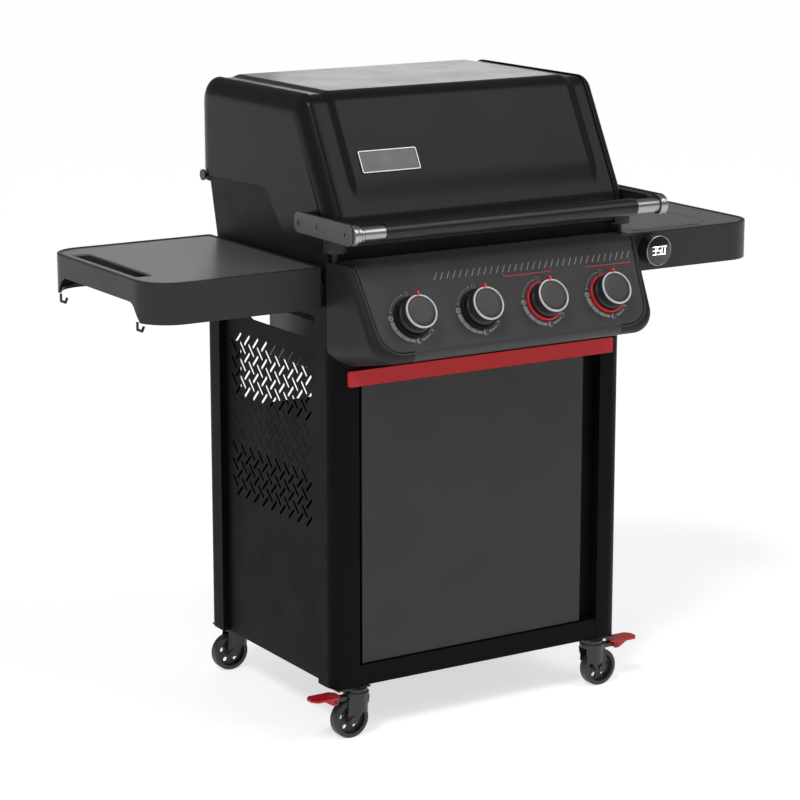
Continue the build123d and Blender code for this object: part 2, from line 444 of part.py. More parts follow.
def cooking_grate():
    """Right cooking grate: a frame with bars that run front to rear."""
    low = GRATE_TOP - GRATE_THICKNESS
    grate = block(GRATE_LEFT, GRATE_RIGHT, GRATE_FRONT, GRATE_REAR, low, GRATE_TOP)
    free_width = GRATE_RIGHT - GRATE_LEFT - GRATE_FRAME * 2 - GRATE_BAR_WIDTH * GRATE_BARS
    opening = free_width / (GRATE_BARS + 1)
    middle = (GRATE_FRONT + GRATE_REAR) / 2
    spans = ((GRATE_FRONT + GRATE_FRAME, middle - GRATE_BRIDGE),
             (middle + GRATE_BRIDGE, GRATE_REAR - GRATE_FRAME))
    for index in range(GRATE_BARS + 1):
        x = GRATE_LEFT + GRATE_FRAME + index * (opening + GRATE_BAR_WIDTH)
        for y0, y1 in spans:
            grate -= block(x, x + opening, y0, y1, low, GRATE_TOP)
    return grate


def heat_deflectors():
    """Five tent-shaped steel bars over and between the burners."""
    half, rise, steel = DEFLECTOR_HALF, DEFLECTOR_RISE, DEFLECTOR_STEEL
    tent = [(-half, 0.0), (0.0, rise), (half, 0.0), (half, -steel), (0.0, rise - steel), (-half, -steel)]
    bars = []
    for index in range(DEFLECTORS):
        x = DEFLECTOR_PITCH * (index - (DEFLECTORS - 1) / 2)
        face = Face(Wire.make_polygon([(x + u, DEFLECTOR_Z + v) for u, v in tent]))
        bars.append(prism_y(face, TUB_FRONT + DEFLECTOR_GAP, TUB_REAR - DEFLECTOR_GAP))
    return group(bars)


def burner_tubes():
    """Four tube burners with closed rear ends."""
    tubes = []
    for x in STATIONS:
        tube = rod((x, BURNER_FRONT, BURNER_Z), (x, BURNER_REAR, BURNER_Z), BURNER_RADIUS)
        tube -= rod((x, BURNER_FRONT, BURNER_Z), (x, BURNER_REAR - STEEL, BURNER_Z), BURNER_RADIUS - STEEL)
        tubes.append(tube)
    return group(tubes)


def igniter_electrodes():
    """One spark electrode beside the front of each burner, through the tub's front wall."""
    wires = []
    for x in STATIONS:
        side, level = x + BURNER_RADIUS + IGNITER_SIDE, BURNER_Z + IGNITER_LIFT
        body = rod((side, IGNITER_FRONT, level), (side, IGNITER_SHOULDER, level), IGNITER_RADIUS)
        tip = rod((side, IGNITER_SHOULDER, level), (side, IGNITER_TIP, level), IGNITER_TIP_RADIUS)
        wires.append(body + tip)
    return group(wires)


def warming_rack():
    """Wire rack that stands on the cookbox's side walls above the grates."""
    rack = rod((-RACK_HALF, RACK_FRONT, RACK_LEVEL), (RACK_HALF, RACK_FRONT, RACK_LEVEL), RACK_WIRE)
    rack += rod((-RACK_HALF, RACK_REAR, RACK_LEVEL), (RACK_HALF, RACK_REAR, RACK_LEVEL), RACK_WIRE)
    for x in (-RACK_HALF, RACK_HALF):
        rack += rod((x, RACK_FRONT, RACK_LEVEL), (x, RACK_REAR, RACK_LEVEL), RACK_WIRE)
        for y in (RACK_FRONT + RACK_LEG_INSET, RACK_REAR - RACK_LEG_INSET):
            rack += rod((x, y, BOX_REAR_RIM), (x, y, RACK_LEVEL), RACK_WIRE)
    for index in range(1, RACK_GAPS):
        x = -RACK_HALF + index * RACK_HALF * 2 / RACK_GAPS
        rack += rod((x, RACK_FRONT, RACK_LEVEL), (x, RACK_REAR, RACK_LEVEL), RACK_THIN_WIRE)
    return rack


def tray_form(inset):
    """Outer form of the grease tray, or the hollow inside it when drawn in by the sheet's thickness."""
    rim = rectangle(-TRAY_HALF + inset, TRAY_HALF - inset, TRAY_FRONT + inset, TRAY_REAR - inset, 0)
    throat = rectangle(-WELL_HALF + inset, WELL_HALF - inset, WELL_FRONT + inset, WELL_REAR - inset, 0)
    funnel = Solid.make_loft([(Pos(0, 0, TRAY_THROAT + inset) * throat).outer_wire(),
                              (Pos(0, 0, TRAY_EDGE + inset) * rim).outer_wire()], ruled=True)
    sides = block(-TRAY_HALF + inset, TRAY_HALF - inset, TRAY_FRONT + inset, TRAY_REAR - inset,
                  TRAY_EDGE + inset, TRAY_TOP)
    well = block(-WELL_HALF + inset, WELL_HALF - inset, WELL_FRONT + inset, WELL_REAR - inset,
                 WELL_BOTTOM + inset, TRAY_THROAT + inset)
    return sides + funnel + well


def grease_tray():
    """Deep tray with a funnel floor and a well for the drip pan; it slides out to the rear."""
    tray = tray_form(0.0) - tray_form(TRAY_STEEL)
    lip_bottom = RAIL_FOOT_TOP + TRAY_RUNNING_GAP
    lip = block(TRAY_HALF, TRAY_LIP_END, TRAY_FRONT, TRAY_REAR, lip_bottom, lip_bottom + TRAY_STEEL)
    for side in both_sides(lip):
        tray += side
    pull_top = TRAY_TOP - TRAY_PULL_DROP
    return tray + block(-TRAY_PULL_HALF, TRAY_PULL_HALF, TRAY_REAR, TRAY_REAR + TRAY_PULL_REACH,
                        pull_top - TRAY_STEEL, pull_top)


def drip_pan():
    """Foil pan that sits in the tray's well."""
    half, front, rear = WELL_HALF - PAN_GAP, WELL_FRONT + PAN_GAP, WELL_REAR - PAN_GAP
    bottom = WELL_BOTTOM + TRAY_STEEL
    pan = block(-half, half, front, rear, bottom, PAN_TOP)
    return pan - block(-half + PAN_FOIL, half - PAN_FOIL, front + PAN_FOIL, rear - PAN_FOIL,
                       bottom + PAN_FOIL, PAN_TOP)


# ---- lid -----------------------------------------------------------------------------------------
def lid_ridge_y():
    """Depth at which the front slope reaches the top."""
    return LID_FRONT + (LID_TOP - LID_FRONT_BREAK) * LID_SLOPE


def lid_outline():
    """Side outline of a lid end cap, with the scooped lower edge."""
    return outline([(LID_FRONT, LID_FRONT_EDGE, 0), *LID_SCOOP,
                    (LID_REAR, LID_REAR_EDGE, 0), (LID_REAR, LID_TOP, LID_REAR_RADIUS),
                    (lid_ridge_y(), LID_TOP, LID_RIDGE_RADIUS), (LID_FRONT, LID_FRONT_BREAK, LID_BREAK_RADIUS)])


def lid_crown(inset, front_low, rear_low):
    """Front, top and rear of the lid as a closed outline, drawn in by inset."""
    ridge_turn = math.atan2(1.0, LID_SLOPE)
    front_turn = math.pi / 2 - ridge_turn
    ridge = lid_ridge_y() + inset * math.tan(ridge_turn / 2)
    lift = inset * math.tan(front_turn / 2)
    return outline([(LID_FRONT + inset, front_low, 0), (LID_REAR - inset, rear_low, 0),
                    (LID_REAR - inset, LID_TOP - inset, LID_REAR_RADIUS - inset),
                    (ridge, LID_TOP - inset, LID_RIDGE_RADIUS - inset),
                    (LID_FRONT + inset, LID_FRONT_BREAK - lift, LID_BREAK_RADIUS - inset)])


def lid_end_cap():
    """Right end cap: a cast pan open towards the middle and downwards, with its hinge ear."""
    body = prism_x(lid_outline(), LID_BAND_INNER, LID_HALF_WIDTH)
    rim = [edge for edge in body.edges().filter_by_position(Axis.X, LID_HALF_WIDTH, LID_HALF_WIDTH)
           if edge.center().Z > LID_REAR_EDGE + LID_RIM_MARGIN or edge.center().Y < LID_FRONT + 1]
    body = fillet(rim, LID_EDGE_FILLET)
    inside, low = LID_HALF_WIDTH - LID_WALL, LID_FRONT_EDGE - LID_CORE_DROP
    core = prism_x(lid_crown(LID_WALL, low, low), LID_SHEET_HALF - LID_HALF_WIDTH + LID_BAND_INNER, inside)
    edges = [edge for edge in core.edges().filter_by_position(Axis.X, inside, inside)
             if edge.center().Z > LID_FRONT_EDGE]
    core = fillet(edges, LID_EDGE_FILLET - LID_WALL)
    cap = body - core
    cap += rod((inside, HINGE_Y, HINGE_Z), (LID_HALF_WIDTH, HINGE_Y, HINGE_Z), LID_EAR_RADIUS)
    cap -= rod((LID_BAND_INNER, HINGE_Y, HINGE_Z), (LID_HALF_WIDTH, HINGE_Y, HINGE_Z),
               HINGE_PIN_RADIUS + HINGE_CLEARANCE)
    return cap


def lid_sheet():
    """Folded centre sheet of the lid with a raised panel pressed into it."""
    def skin(inset, half, low):
        return prism_x(lid_crown(inset, low, low), -half, half)

    proud = SHEET_INSET - RAISED_PROUD
    outer = skin(SHEET_INSET, LID_SHEET_HALF, LID_FRONT_EDGE)
    raised = skin(proud, RAISED_HALF, LID_FRONT_EDGE)
    low_front = block(-LID_HALF_WIDTH, LID_HALF_WIDTH, LID_FRONT - OVERCUT, LID_REAR / 2,
                      LID_FRONT_EDGE - OVERCUT, RAISED_BOTTOM)
    outer += raised - low_front
    inner = skin(SHEET_INSET + SHEET_WALL, LID_SHEET_HALF, LID_FRONT_EDGE)
    raised_inner = skin(proud + SHEET_WALL, RAISED_HALF - SHEET_WALL, LID_FRONT_EDGE)
    inner += raised_inner - Pos(0, 0, SHEET_WALL) * low_front
    sheet = outer - inner
    sheet -= block(-LID_HALF_WIDTH, LID_HALF_WIDTH, LID_SHEET_REAR_START, LID_REAR + OVERCUT,
                   LID_FRONT_EDGE - OVERCUT, LID_REAR_EDGE + LID_SHEET_LIFT)
    return sheet - block(-LID_HALF_WIDTH, LID_HALF_WIDTH, LID_FRONT - OVERCUT, HINGE_Y,
                         LID_FRONT_EDGE - OVERCUT, LID_FRONT_EDGE + LID_SHEET_LIFT)


def lid_front_plane(proud):
    """Plane on the lid's front slope at the badge, proud of the end caps' outline."""
    lean = math.hypot(1.0, LID_SLOPE)
    normal = Vector(0, -1.0 / lean, LID_SLOPE / lean)
    y = LID_FRONT + (BADGE["z"] - LID_FRONT_BREAK) * LID_SLOPE
    return Plane(origin=Vector(BADGE["x"], y, BADGE["z"]) + normal * proud, x_dir=(1, 0, 0), z_dir=normal)


def lid_badge():
    """Plain badge plate on the raised panel."""
    plane = lid_front_plane(RAISED_PROUD - SHEET_INSET)
    half_width, half_height = BADGE["width"] / 2, BADGE["height"] / 2
    face = rectangle(-half_width, half_width, -half_height, half_height, BADGE["corner"])
    return extrude(plane.location * face, BADGE["thickness"])


def handle_tube():
    """Long handle tube."""
    tube = rod((-HANDLE_HALF, HANDLE_Y, HANDLE_Z), (HANDLE_HALF, HANDLE_Y, HANDLE_Z), HANDLE_RADIUS)
    return tube - rod((-HANDLE_HALF, HANDLE_Y, HANDLE_Z), (HANDLE_HALF, HANDLE_Y, HANDLE_Z),
                      HANDLE_RADIUS - HANDLE_WALL)


def screw_holes(radius):
    """Cylinders along the right bracket's three screw axes."""
    return [rod((SCREW_HOLE_START, y, HANDLE_Z), (COLLAR_END + BRACKET_PLATE, y, HANDLE_Z), radius)
            for y in BRACKET_SCREWS]


def handle_ferrules():
    """Steel sleeves and stepped collars at both ends of the handle tube."""
    sleeve = rod((HANDLE_HALF, HANDLE_Y, HANDLE_Z), (FERRULE_END, HANDLE_Y, HANDLE_Z), FERRULE_RADIUS)
    collar = rod((FERRULE_END, HANDLE_Y, HANDLE_Z), (COLLAR_END, HANDLE_Y, HANDLE_Z), COLLAR_RADIUS)
    collar = collar - screw_holes(SCREW_HOLE_RADIUS)
    return group(both_sides(sleeve) + both_sides(collar))


def handle_brackets():
    """Black bracket arms between the end caps and the handle."""
    collar_room = rod((ARM_NOTCH_START, HANDLE_Y, HANDLE_Z), (COLLAR_END, HANDLE_Y, HANDLE_Z),
                      COLLAR_RADIUS + COLLAR_GAP)
    arm = prism_x(rectangle(ARM_FRONT, BRACKET_REAR - ARM_REAR_INSET, BRACKET_BOTTOM + ARM_INSET,
                            BRACKET_TOP - ARM_INSET, ARM_CORNER), LID_HALF_WIDTH, COLLAR_END)
    arm = arm - collar_room - screw_holes(SCREW_HOLE_RADIUS)
    web = prism_x(rectangle(WEB_FRONT, ARM_FRONT, HANDLE_Z - WEB_HALF, HANDLE_Z + WEB_HALF),
                  LID_HALF_WIDTH + STEEL, COLLAR_END)
    web = web - collar_room - screw_holes(SCREW_HOLE_RADIUS)
    return group(both_sides(arm + web))


def handle_side_plates():
    """Grey cover plates on the outside of the bracket arms."""
    plate = prism_x(rectangle(BRACKET_FRONT, BRACKET_REAR, BRACKET_BOTTOM, BRACKET_TOP, BRACKET_CORNER),
                    COLLAR_END, COLLAR_END + BRACKET_PLATE)
    return group(both_sides(plate - screw_holes(SCREW_HOLE_RADIUS)))


def handle_screws():
    """Three pan-head screws through each cover plate."""
    outside = COLLAR_END + BRACKET_PLATE
    screws = []
    for y in BRACKET_SCREWS:
        shank = rod((outside - SCREW_DEPTH, y, HANDLE_Z), (outside, y, HANDLE_Z), SCREW_RADIUS)
        head = rod((outside, y, HANDLE_Z), (outside + SCREW_HEAD_HEIGHT, y, HANDLE_Z), SCREW_HEAD_RADIUS)
        screws.append(shank + head)
    return group([solid for screw in screws for solid in both_sides(screw)])


def lid_bumpers():
    """Rubber feet under the front of the bracket arms; they rest on the control panel."""
    x, y, top = BUMPER["x"], BUMPER["y"], BUMPER["top"]
    foot = rod((x, y, BUMPER["bottom"]), (x, y, top), BUMPER["radius"])
    foot += rod((x, y, CONSOLE_TOP + BUMPER["gap"]), (x, y, top), BUMPER["stud"])
    foot += block(LID_HALF_WIDTH, LID_HALF_WIDTH + BUMPER["tab"], y - BUMPER["tab_front"],
                  y + BUMPER["tab_rear"], top - BUMPER["tab_depth"], BRACKET_BOTTOM + ARM_INSET)
    foot -= prism_x(lid_outline(), BUMPER["inner"], LID_HALF_WIDTH)
    foot -= block(BUMPER["inner"], BOX_HALF_WIDTH + BUMPER["side_gap"], BOX_FRONT - BUMPER["wall_gap"],
                  BOX_FRONT_RIM, CONSOLE_TOP, top)
    return group(both_sides(foot))


def lid_hinge_pins():
    """Headed pins that hold the lid's ears to the cookbox's lugs."""
    clip_end, head_end = LUG_INNER - PIN_CLIP, LID_HALF_WIDTH + PIN_HEAD_END
    pin = rod((clip_end, HINGE_Y, HINGE_Z), (head_end, HINGE_Y, HINGE_Z), HINGE_PIN_RADIUS)
    pin += rod((clip_end, HINGE_Y, HINGE_Z), (LUG_INNER, HINGE_Y, HINGE_Z), PIN_CLIP_RADIUS)
    pin += rod((LID_HALF_WIDTH + PIN_HEAD_GAP, HINGE_Y, HINGE_Z), (head_end, HINGE_Y, HINGE_Z), PIN_HEAD_RADIUS)
    return group(both_sides(pin))


# ---- control panel -------------------------------------------------------------------------------
def face_plane(x=0.0, height=0.0):
    """Plane on the console's sloping face: local x to the right, local y up the slope."""
    origin = Vector(x, FACE_Y, FACE_Z) + FACE_NORMAL * height
    return Plane(origin=origin, x_dir=(1, 0, 0), z_dir=FACE_NORMAL)


def up_slope(z):
    """Distance up the sloping face from its reference point to height z."""
    return (z - FACE_Z) / math.cos(math.radians(FACE_TILT))


def console_hull(inset):
    """Solid console body lofted from the sloping face back to the cookbox."""
    spread = (CONSOLE_HALF_TOP - CONSOLE_HALF_LOW) / (up_slope(CONSOLE_SHOULDER) - up_slope(CONSOLE_LIP))
    top = up_slope(CONSOLE_TOP) + CONSOLE_OVERRUN
    bottom = up_slope(CONSOLE_LIP) + inset
    corner = CONSOLE_CORNER - inset
    half_top = CONSOLE_HALF_LOW + spread * (top - bottom) - inset
    half_low = CONSOLE_HALF_LOW - inset
    front = outline([(-half_low, bottom, corner), (half_low, bottom, corner),
                     (half_top, top, 0), (-half_top, top, 0)])
    half_rear = CONSOLE_HALF_REAR - inset
    low_rear, top_rear = CONSOLE_BOTTOM_REAR + inset, CONSOLE_TOP + CONSOLE_OVERRUN
    rear = outline([(-half_rear, low_rear, corner), (half_rear, low_rear, corner),
                    (half_rear, top_rear, 0), (-half_rear, top_rear, 0)])
    rear_plane = Plane(origin=(0, CONSOLE_REAR + inset, 0), x_dir=(1, 0, 0), z_dir=(0, -1, 0))
    hull = Solid.make_loft([(face_plane(0.0, -inset).location * front).outer_wire(),
                            (rear_plane.location * rear).outer_wire()], ruled=True)
    hull -= block(-REACH, REACH, -REACH, REACH, CONSOLE_TOP - inset, CONSOLE_TOP + REACH)
    front_edges = [edge for edge in hull.edges()
                   if math.isclose(face_plane(0.0, -inset).to_local_coords(edge.center()).Z, 0, abs_tol=TOUCH)]
    return fillet(front_edges, CONSOLE_EDGE - inset)


def console_shell():
    """Hollow console, open at the back, with room for the front posts."""
    hollow = console_hull(CONSOLE_WALL)
    behind = block(-REACH, REACH, CONSOLE_REAR, REACH, 0, REACH * 3)
    back_opening = block(-REACH, REACH, CONSOLE_REAR - CONSOLE_WALL, REACH,
                         CONSOLE_BOTTOM_REAR + CONSOLE_LIP_HEIGHT, CONSOLE_TOP - CONSOLE_WALL)
    shell = console_hull(0.0) - hollow - behind - (back_opening & hollow)
    inner = POST_STOP_INNER - POST_ROOM_GAP
    post = outline([(inner, -POST_ROOM_GAP, 0),
                    (CART_HALF_WIDTH, -POST_ROOM_GAP, POST_CORNER_RADIUS + POST_ROOM_GAP),
                    (CART_HALF_WIDTH, REACH, 0), (inner, REACH, 0)])
    room = prism_z(post, CART_BOTTOM, POST_TOP + POST_ROOM_RISE)
    room = room & block(0, CONSOLE_HALF_REAR - POST_ROOM_CHEEK, -REACH, REACH, 0, POST_TOP + POST_ROOM_RISE)
    for side in both_sides(room):
        shell -= side
    return shell


def face_region():
    """Volume that belongs to the face plate: inside the crease, and the whole middle."""
    low, top = up_slope(CREASE_BOTTOM), up_slope(CONSOLE_TOP) + CREASE_OVERRUN
    crease = outline([(-CREASE_HALF_LOW, low, CREASE_CORNER), (CREASE_HALF_LOW, low, CREASE_CORNER),
                      (CREASE_HALF_TOP, top, 0), (-CREASE_HALF_TOP, top, 0)])
    region = extrude(face_plane(0.0, -CREASE_DEPTH).location * crease, CREASE_DEPTH + OVERCUT)
    region += block(-CREASE_HALF_TOP, CREASE_HALF_TOP, CREASE_TOP_FRONT, REACH, CREASE_TOP_BOTTOM, REACH * 3)
    return region + block(-SEAM_X, SEAM_X, -REACH, REACH, 0, REACH * 3)


def control_panel():
    """Face plate with stem holes, and the left and right end caps of the console."""
    shell = console_shell()
    region = face_region()
    face = shell & region
    for x in STATIONS:
        face -= on_stem(x, -OVERCUT, OVERCUT, STEM_HOLE_RADIUS)
    ends = shell - region
    right = ends & block(0, REACH, -REACH, REACH, 0, REACH * 3)
    left = ends & block(-REACH, 0, -REACH, REACH, 0, REACH * 3)
    return face, left, right


def on_stem(x, low, high, radius):
    """Cylinder on a control's axis between two distances in front of the face."""
    return extrude(face_plane(x, low).location * Face(Wire.make_circle(radius)), high - low)


def gas_manifold():
    """Supply tube with four valve bodies, burner elbows and the hose inlet near its right end."""
    tube_y, tube_z = on_axis(MANIFOLD_HEIGHT)
    elbow_y, elbow_z = on_axis(ELBOW_HEIGHT)
    manifold = rod((MANIFOLD_LEFT, tube_y, tube_z), (MANIFOLD_RIGHT, tube_y, tube_z), MANIFOLD_RADIUS)
    for x in STATIONS:
        manifold += on_stem(x, VALVE_BACK, VALVE_FRONT, VALVE_RADIUS)
        manifold += rod((x, elbow_y, elbow_z), (x, ELBOW_END, BURNER_Z), ELBOW_RADIUS)
        manifold += rod((x, NOZZLE_FRONT, BURNER_Z), (x, NOZZLE_REAR, BURNER_Z), NOZZLE_RADIUS)
    for x in STATIONS:
        manifold -= on_stem(x, STEM_SOCKET_BACK, VALVE_FRONT, STEM_RADIUS + STEM_CLEARANCE)
    inlet_start = (INLET_X, INLET_END - INLET_LENGTH, tube_z)
    manifold += rod((INLET_X, tube_y, tube_z), inlet_start, INLET_NECK_RADIUS)
    return manifold + rod(inlet_start, (INLET_X, INLET_END, tube_z), INLET_RADIUS)


def on_axis(height):
    """Depth and level of a point on a control's axis."""
    point = Vector(0, FACE_Y, FACE_Z) + FACE_NORMAL * height
    return point.Y, point.Z


def valve_stem(x):
    """Round valve stem that pushes in against the valve's spring."""
    return on_stem(x, STEM_BACK, STEM_FRONT, STEM_RADIUS)


def knob(x):
    """Control knob: grip body, bright ring and the raised pointer at the top."""
    ring_back, ring_inner = KNOB_FRONT - KNOB_RING_DEPTH, KNOB_RADIUS - KNOB_RING_WIDTH
    skirt_top = KNOB_BACK + KNOB_SKIRT_DEPTH
    grip = on_stem(x, KNOB_BACK, ring_back, KNOB_RADIUS - KNOB_WAIST)
    grip += on_stem(x, KNOB_BACK, skirt_top, KNOB_SKIRT)
    grip += on_stem(x, ring_back, KNOB_FRONT - KNOB_CAP_INSET, ring_inner)
    grip -= on_stem(x, KNOB_BACK, KNOB_BORE_END, STEM_RADIUS + STEM_CLEARANCE)
    ring = on_stem(x, ring_back, KNOB_FRONT, KNOB_RADIUS) - on_stem(x, ring_back, KNOB_FRONT, ring_inner)
    pointer_face = rectangle(-POINTER_HALF, POINTER_HALF, KNOB_RADIUS - POINTER_INSIDE,
                             KNOB_RADIUS + POINTER_OUTSIDE, POINTER_CORNER)
    pointer_back = BEZEL_HEIGHT + KNOB_TRAVEL + POINTER_GAP
    pointer_front = KNOB_FRONT + POINTER_PROUD
    pointer = extrude(face_plane(x, pointer_back).location * pointer_face, pointer_front - pointer_back)
    pointer -= on_stem(x, 0.0, skirt_top, KNOB_SKIRT)
    pointer -= on_stem(x, 0.0, pointer_front, KNOB_RADIUS)
    return group([grip, ring, pointer])


def bezels(stations):
    """Raised rings on the face plate round the knobs' skirts."""
    rings = []
    for x in stations:
        ring = on_stem(x, 0.0, BEZEL_HEIGHT, BEZEL_OUTER) - on_stem(x, 0.0, BEZEL_HEIGHT, BEZEL_INNER)
        outside = ring.edges().filter_by(GeomType.CIRCLE).sort_by(SortBy.RADIUS)[-2:]
        front = max(outside, key=lambda edge: face_plane().to_local_coords(edge.center()).Z)
        rings.append(chamfer(front, BEZEL_CHAMFER))
    return group(rings)


# ---- shelves -------------------------------------------------------------------------------------
def shelf_outline(inset):
    """Plan outline of the right shelf."""
    inner_radius = max(SHELF_INNER_RADIUS - inset, SHELF_LEAST_RADIUS)
    corners = [(SHELF_INNER + inset, SHELF_FRONT + inset, inner_radius),
               (SHELF_OUTER - inset, SHELF_FRONT + inset, SHELF_FRONT_RADIUS - inset),
               (SHELF_OUTER - inset, SHELF_REAR - inset, SHELF_REAR_RADIUS - inset),
               (SHELF_INNER + inset, SHELF_REAR - inset, inner_radius)]
    return outline(corners)


def shelf_frame():
    """Right shelf frame: apron with a rolled lower edge, top rim, plate ledge and post pads."""
    frame = prism_z(shelf_outline(0.0), SHELF_BOTTOM, SHELF_TOP)
    frame -= prism_z(shelf_outline(SHELF_BEAD), SHELF_BOTTOM, SHELF_BOTTOM + SHELF_BEAD)
    shelf_floor, ledge_top = SHELF_TOP - LEDGE_DROP, SHELF_TOP - PLATE_DROP
    frame -= prism_z(shelf_outline(SHELF_WALL), SHELF_BOTTOM + SHELF_BEAD, shelf_floor)
    frame -= prism_z(shelf_outline(SHELF_LEDGE), shelf_floor, ledge_top)
    frame -= prism_z(shelf_outline(SHELF_RIM), ledge_top, SHELF_TOP)
    top_edges = frame.edges().filter_by_position(Axis.Z, SHELF_TOP, SHELF_TOP)
    outer_edges = [edge for edge in top_edges if on_shelf_outside(edge.center())]
    frame = fillet(outer_edges, SHELF_EDGE_RADIUS)
    arch = outline([(SHELF_END_FRONT - ARCH_FLARE, SHELF_BOTTOM - OVERCUT, 0),
                    (SHELF_END_REAR + ARCH_FLARE, SHELF_BOTTOM - OVERCUT, 0),
                    (SHELF_END_REAR, SHELF_END_RAISE, ARCH_RADIUS),
                    (SHELF_END_FRONT, SHELF_END_RAISE, ARCH_RADIUS)])
    frame -= prism_x(arch, SHELF_OUTER - OVERCUT, SHELF_OUTER)
    for y0, y1 in SHELF_PADS:
        frame += block(CART_HALF_WIDTH, SHELF_INNER + 1, y0, y1, SHELF_PAD_BOTTOM, SHELF_PAD_TOP)
    return frame


def on_shelf_outside(point):
    """True on the outer boundary of the shelf's plan."""
    middle_x, middle_y = (SHELF_INNER + SHELF_OUTER) / 2, (SHELF_FRONT + SHELF_REAR) / 2
    half_x, half_y = (SHELF_OUTER - SHELF_INNER) / 2, (SHELF_REAR - SHELF_FRONT) / 2
    to_side = half_x - abs(point.X - middle_x)
    to_end = half_y - abs(point.Y - middle_y)
    return to_side < 1 or to_end < 1 or max(to_side, to_end) < CORNER_ZONE


def shelf_top_plate():
    """Plate that lies on the shelf frame's ledge, its top a little below the rim."""
    return prism_z(shelf_outline(SHELF_RIM + PLATE_GAP), SHELF_TOP - PLATE_DROP, SHELF_TOP - PLATE_SINK)


def shelf_left_top():
    """Left worktop with a long slot beside its outer edge."""
    plate = mirror(shelf_top_plate(), about=Plane.YZ)
    return plate - prism_z(rectangle(*LEFT_SLOT), SHELF_TOP - OVERCUT, SHELF_TOP)


def shelf_right_top():
    """Right worktop with a grooved panel outline and a slot along the front."""
    plate = shelf_top_plate()
    groove = prism_z(rectangle(*RIGHT_GROOVE_OUTER), SHELF_TOP - GROOVE_SINK, SHELF_TOP)
    groove -= prism_z(rectangle(*RIGHT_GROOVE_INNER), SHELF_TOP - GROOVE_SINK, SHELF_TOP)
    slot = prism_z(rectangle(*RIGHT_SLOT), SHELF_TOP - OVERCUT, SHELF_TOP)
    return plate - groove - slot


def shelf_hooks():
    """Tool hooks of bent rod under the left shelf's outer apron."""
    hooks = []
    x = -SHELF_OUTER + SHELF_BEAD / 2
    bend_z, toe_z, tip_z = (SHELF_BOTTOM - drop for drop in HOOK_DROPS)
    for y in HOOK_Y:
        bend, toe, tip = (x, y, bend_z), (x + HOOK_TOE, y, toe_z), (x + HOOK_TIP, y, tip_z)
        hook = rod((x, y, SHELF_BOTTOM), bend, HOOK_RADIUS) + Pos(*bend) * Sphere(HOOK_RADIUS)
        hook += rod(bend, toe, HOOK_RADIUS) + Pos(*toe) * Sphere(HOOK_RADIUS)
        hooks.append(hook + rod(toe, tip, HOOK_RADIUS))
    return group(hooks)


def temperature_display():
    """Round display pod on the right shelf's front apron."""
    x, z = DISPLAY["x"], DISPLAY["z"]
    front, radius = (x, DISPLAY["front"], z), DISPLAY["radius"]
    step = (x, DISPLAY["front"] + DISPLAY["ring_depth"], z)
    pod = rod((x, SHELF_FRONT, z), step, radius)
    ring = rod(step, front, radius) - rod(step, front, radius - DISPLAY["ring_width"])
    return group([pod, ring])


# ---- casters -------------------------------------------------------------------------------------
def caster_mounts():
    """Plates under the posts with swivel pins and upper races, one at each corner."""
    mounts = []
    for y in SWIVEL_Y:
        y0 = MOUNT_INSET if y < CART_DEPTH / 2 else CART_DEPTH - MOUNT_INSET - MOUNT_LENGTH
        plate = block(SWIVEL_X - CROWN_RADIUS, MOUNT_OUTER, y0, y0 + MOUNT_LENGTH, MOUNT_BOTTOM, CART_BOTTOM)
        race = rod((SWIVEL_X, y, CROWN_TOP + SWIVEL_GAP), (SWIVEL_X, y, MOUNT_BOTTOM), RACE_RADIUS)
        head_top = (SWIVEL_X, y, CROWN_BOTTOM - SWIVEL_GAP)
        pin = rod(head_top, (SWIVEL_X, y, MOUNT_BOTTOM), SWIVEL_PIN_RADIUS)
        head = rod((SWIVEL_X, y, CROWN_BOTTOM - PIN_HEAD_DEPTH), head_top, SWIVEL_HEAD_RADIUS)
        mounts.extend(both_sides(plate + race + pin + head))
    return group(mounts)


def caster_fork(braked):
    """Fork about its own swivel axis, wheel trailing towards +X; the axle is part of it."""
    outer = FORK_GAP + FORK_STEEL
    housing_radius = CROWN_RADIUS - HOUSING_INSET
    fork = rod((0, 0, CROWN_BOTTOM), (0, 0, CROWN_TOP), CROWN_RADIUS)
    foot_low = WHEEL_RADIUS - LEG_FOOT
    leg_outline = outline([(-LEG_HALF, CROWN_BOTTOM, 0), *LEG_REAR_BEND,
                           (WHEEL_TRAIL - LEG_FOOT, foot_low, LEG_RADIUS),
                           (WHEEL_TRAIL + LEG_FOOT, foot_low, LEG_RADIUS), *LEG_FRONT_BEND,
                           (LEG_HALF, CROWN_BOTTOM, 0)])
    for side in (-1, 1):
        y0, y1 = sorted((side * FORK_GAP, side * outer))
        fork += prism_y(leg_outline, y0, y1)
    between_legs = block(-CASTER_REACH, CASTER_REACH, -outer, outer, 0, CROWN_BOTTOM)
    housing = rod((0, 0, HOUSING_BOTTOM), (0, 0, CROWN_BOTTOM), housing_radius)
    housing -= rod((0, 0, HOUSING_BOTTOM), (0, 0, CROWN_BOTTOM), housing_radius - FORK_STEEL) - between_legs
    fork += housing - block(-CASTER_REACH, CASTER_REACH, -FORK_GAP, FORK_GAP, 0, CROWN_BOTTOM)
    fork -= rod((0, 0, CROWN_BOTTOM), (0, 0, CROWN_TOP), SWIVEL_PIN_RADIUS + STEM_CLEARANCE)
    end = outer + AXLE_CAP_DEPTH
    fork += rod((WHEEL_TRAIL, -end, WHEEL_RADIUS), (WHEEL_TRAIL, end, WHEEL_RADIUS), AXLE_RADIUS)
    for side in (-1, 1):
        fork += rod((WHEEL_TRAIL, side * outer, WHEEL_RADIUS), (WHEEL_TRAIL, side * end, WHEEL_RADIUS),
                    AXLE_CAP_RADIUS)
    return fork + lever_arm() if braked else fork


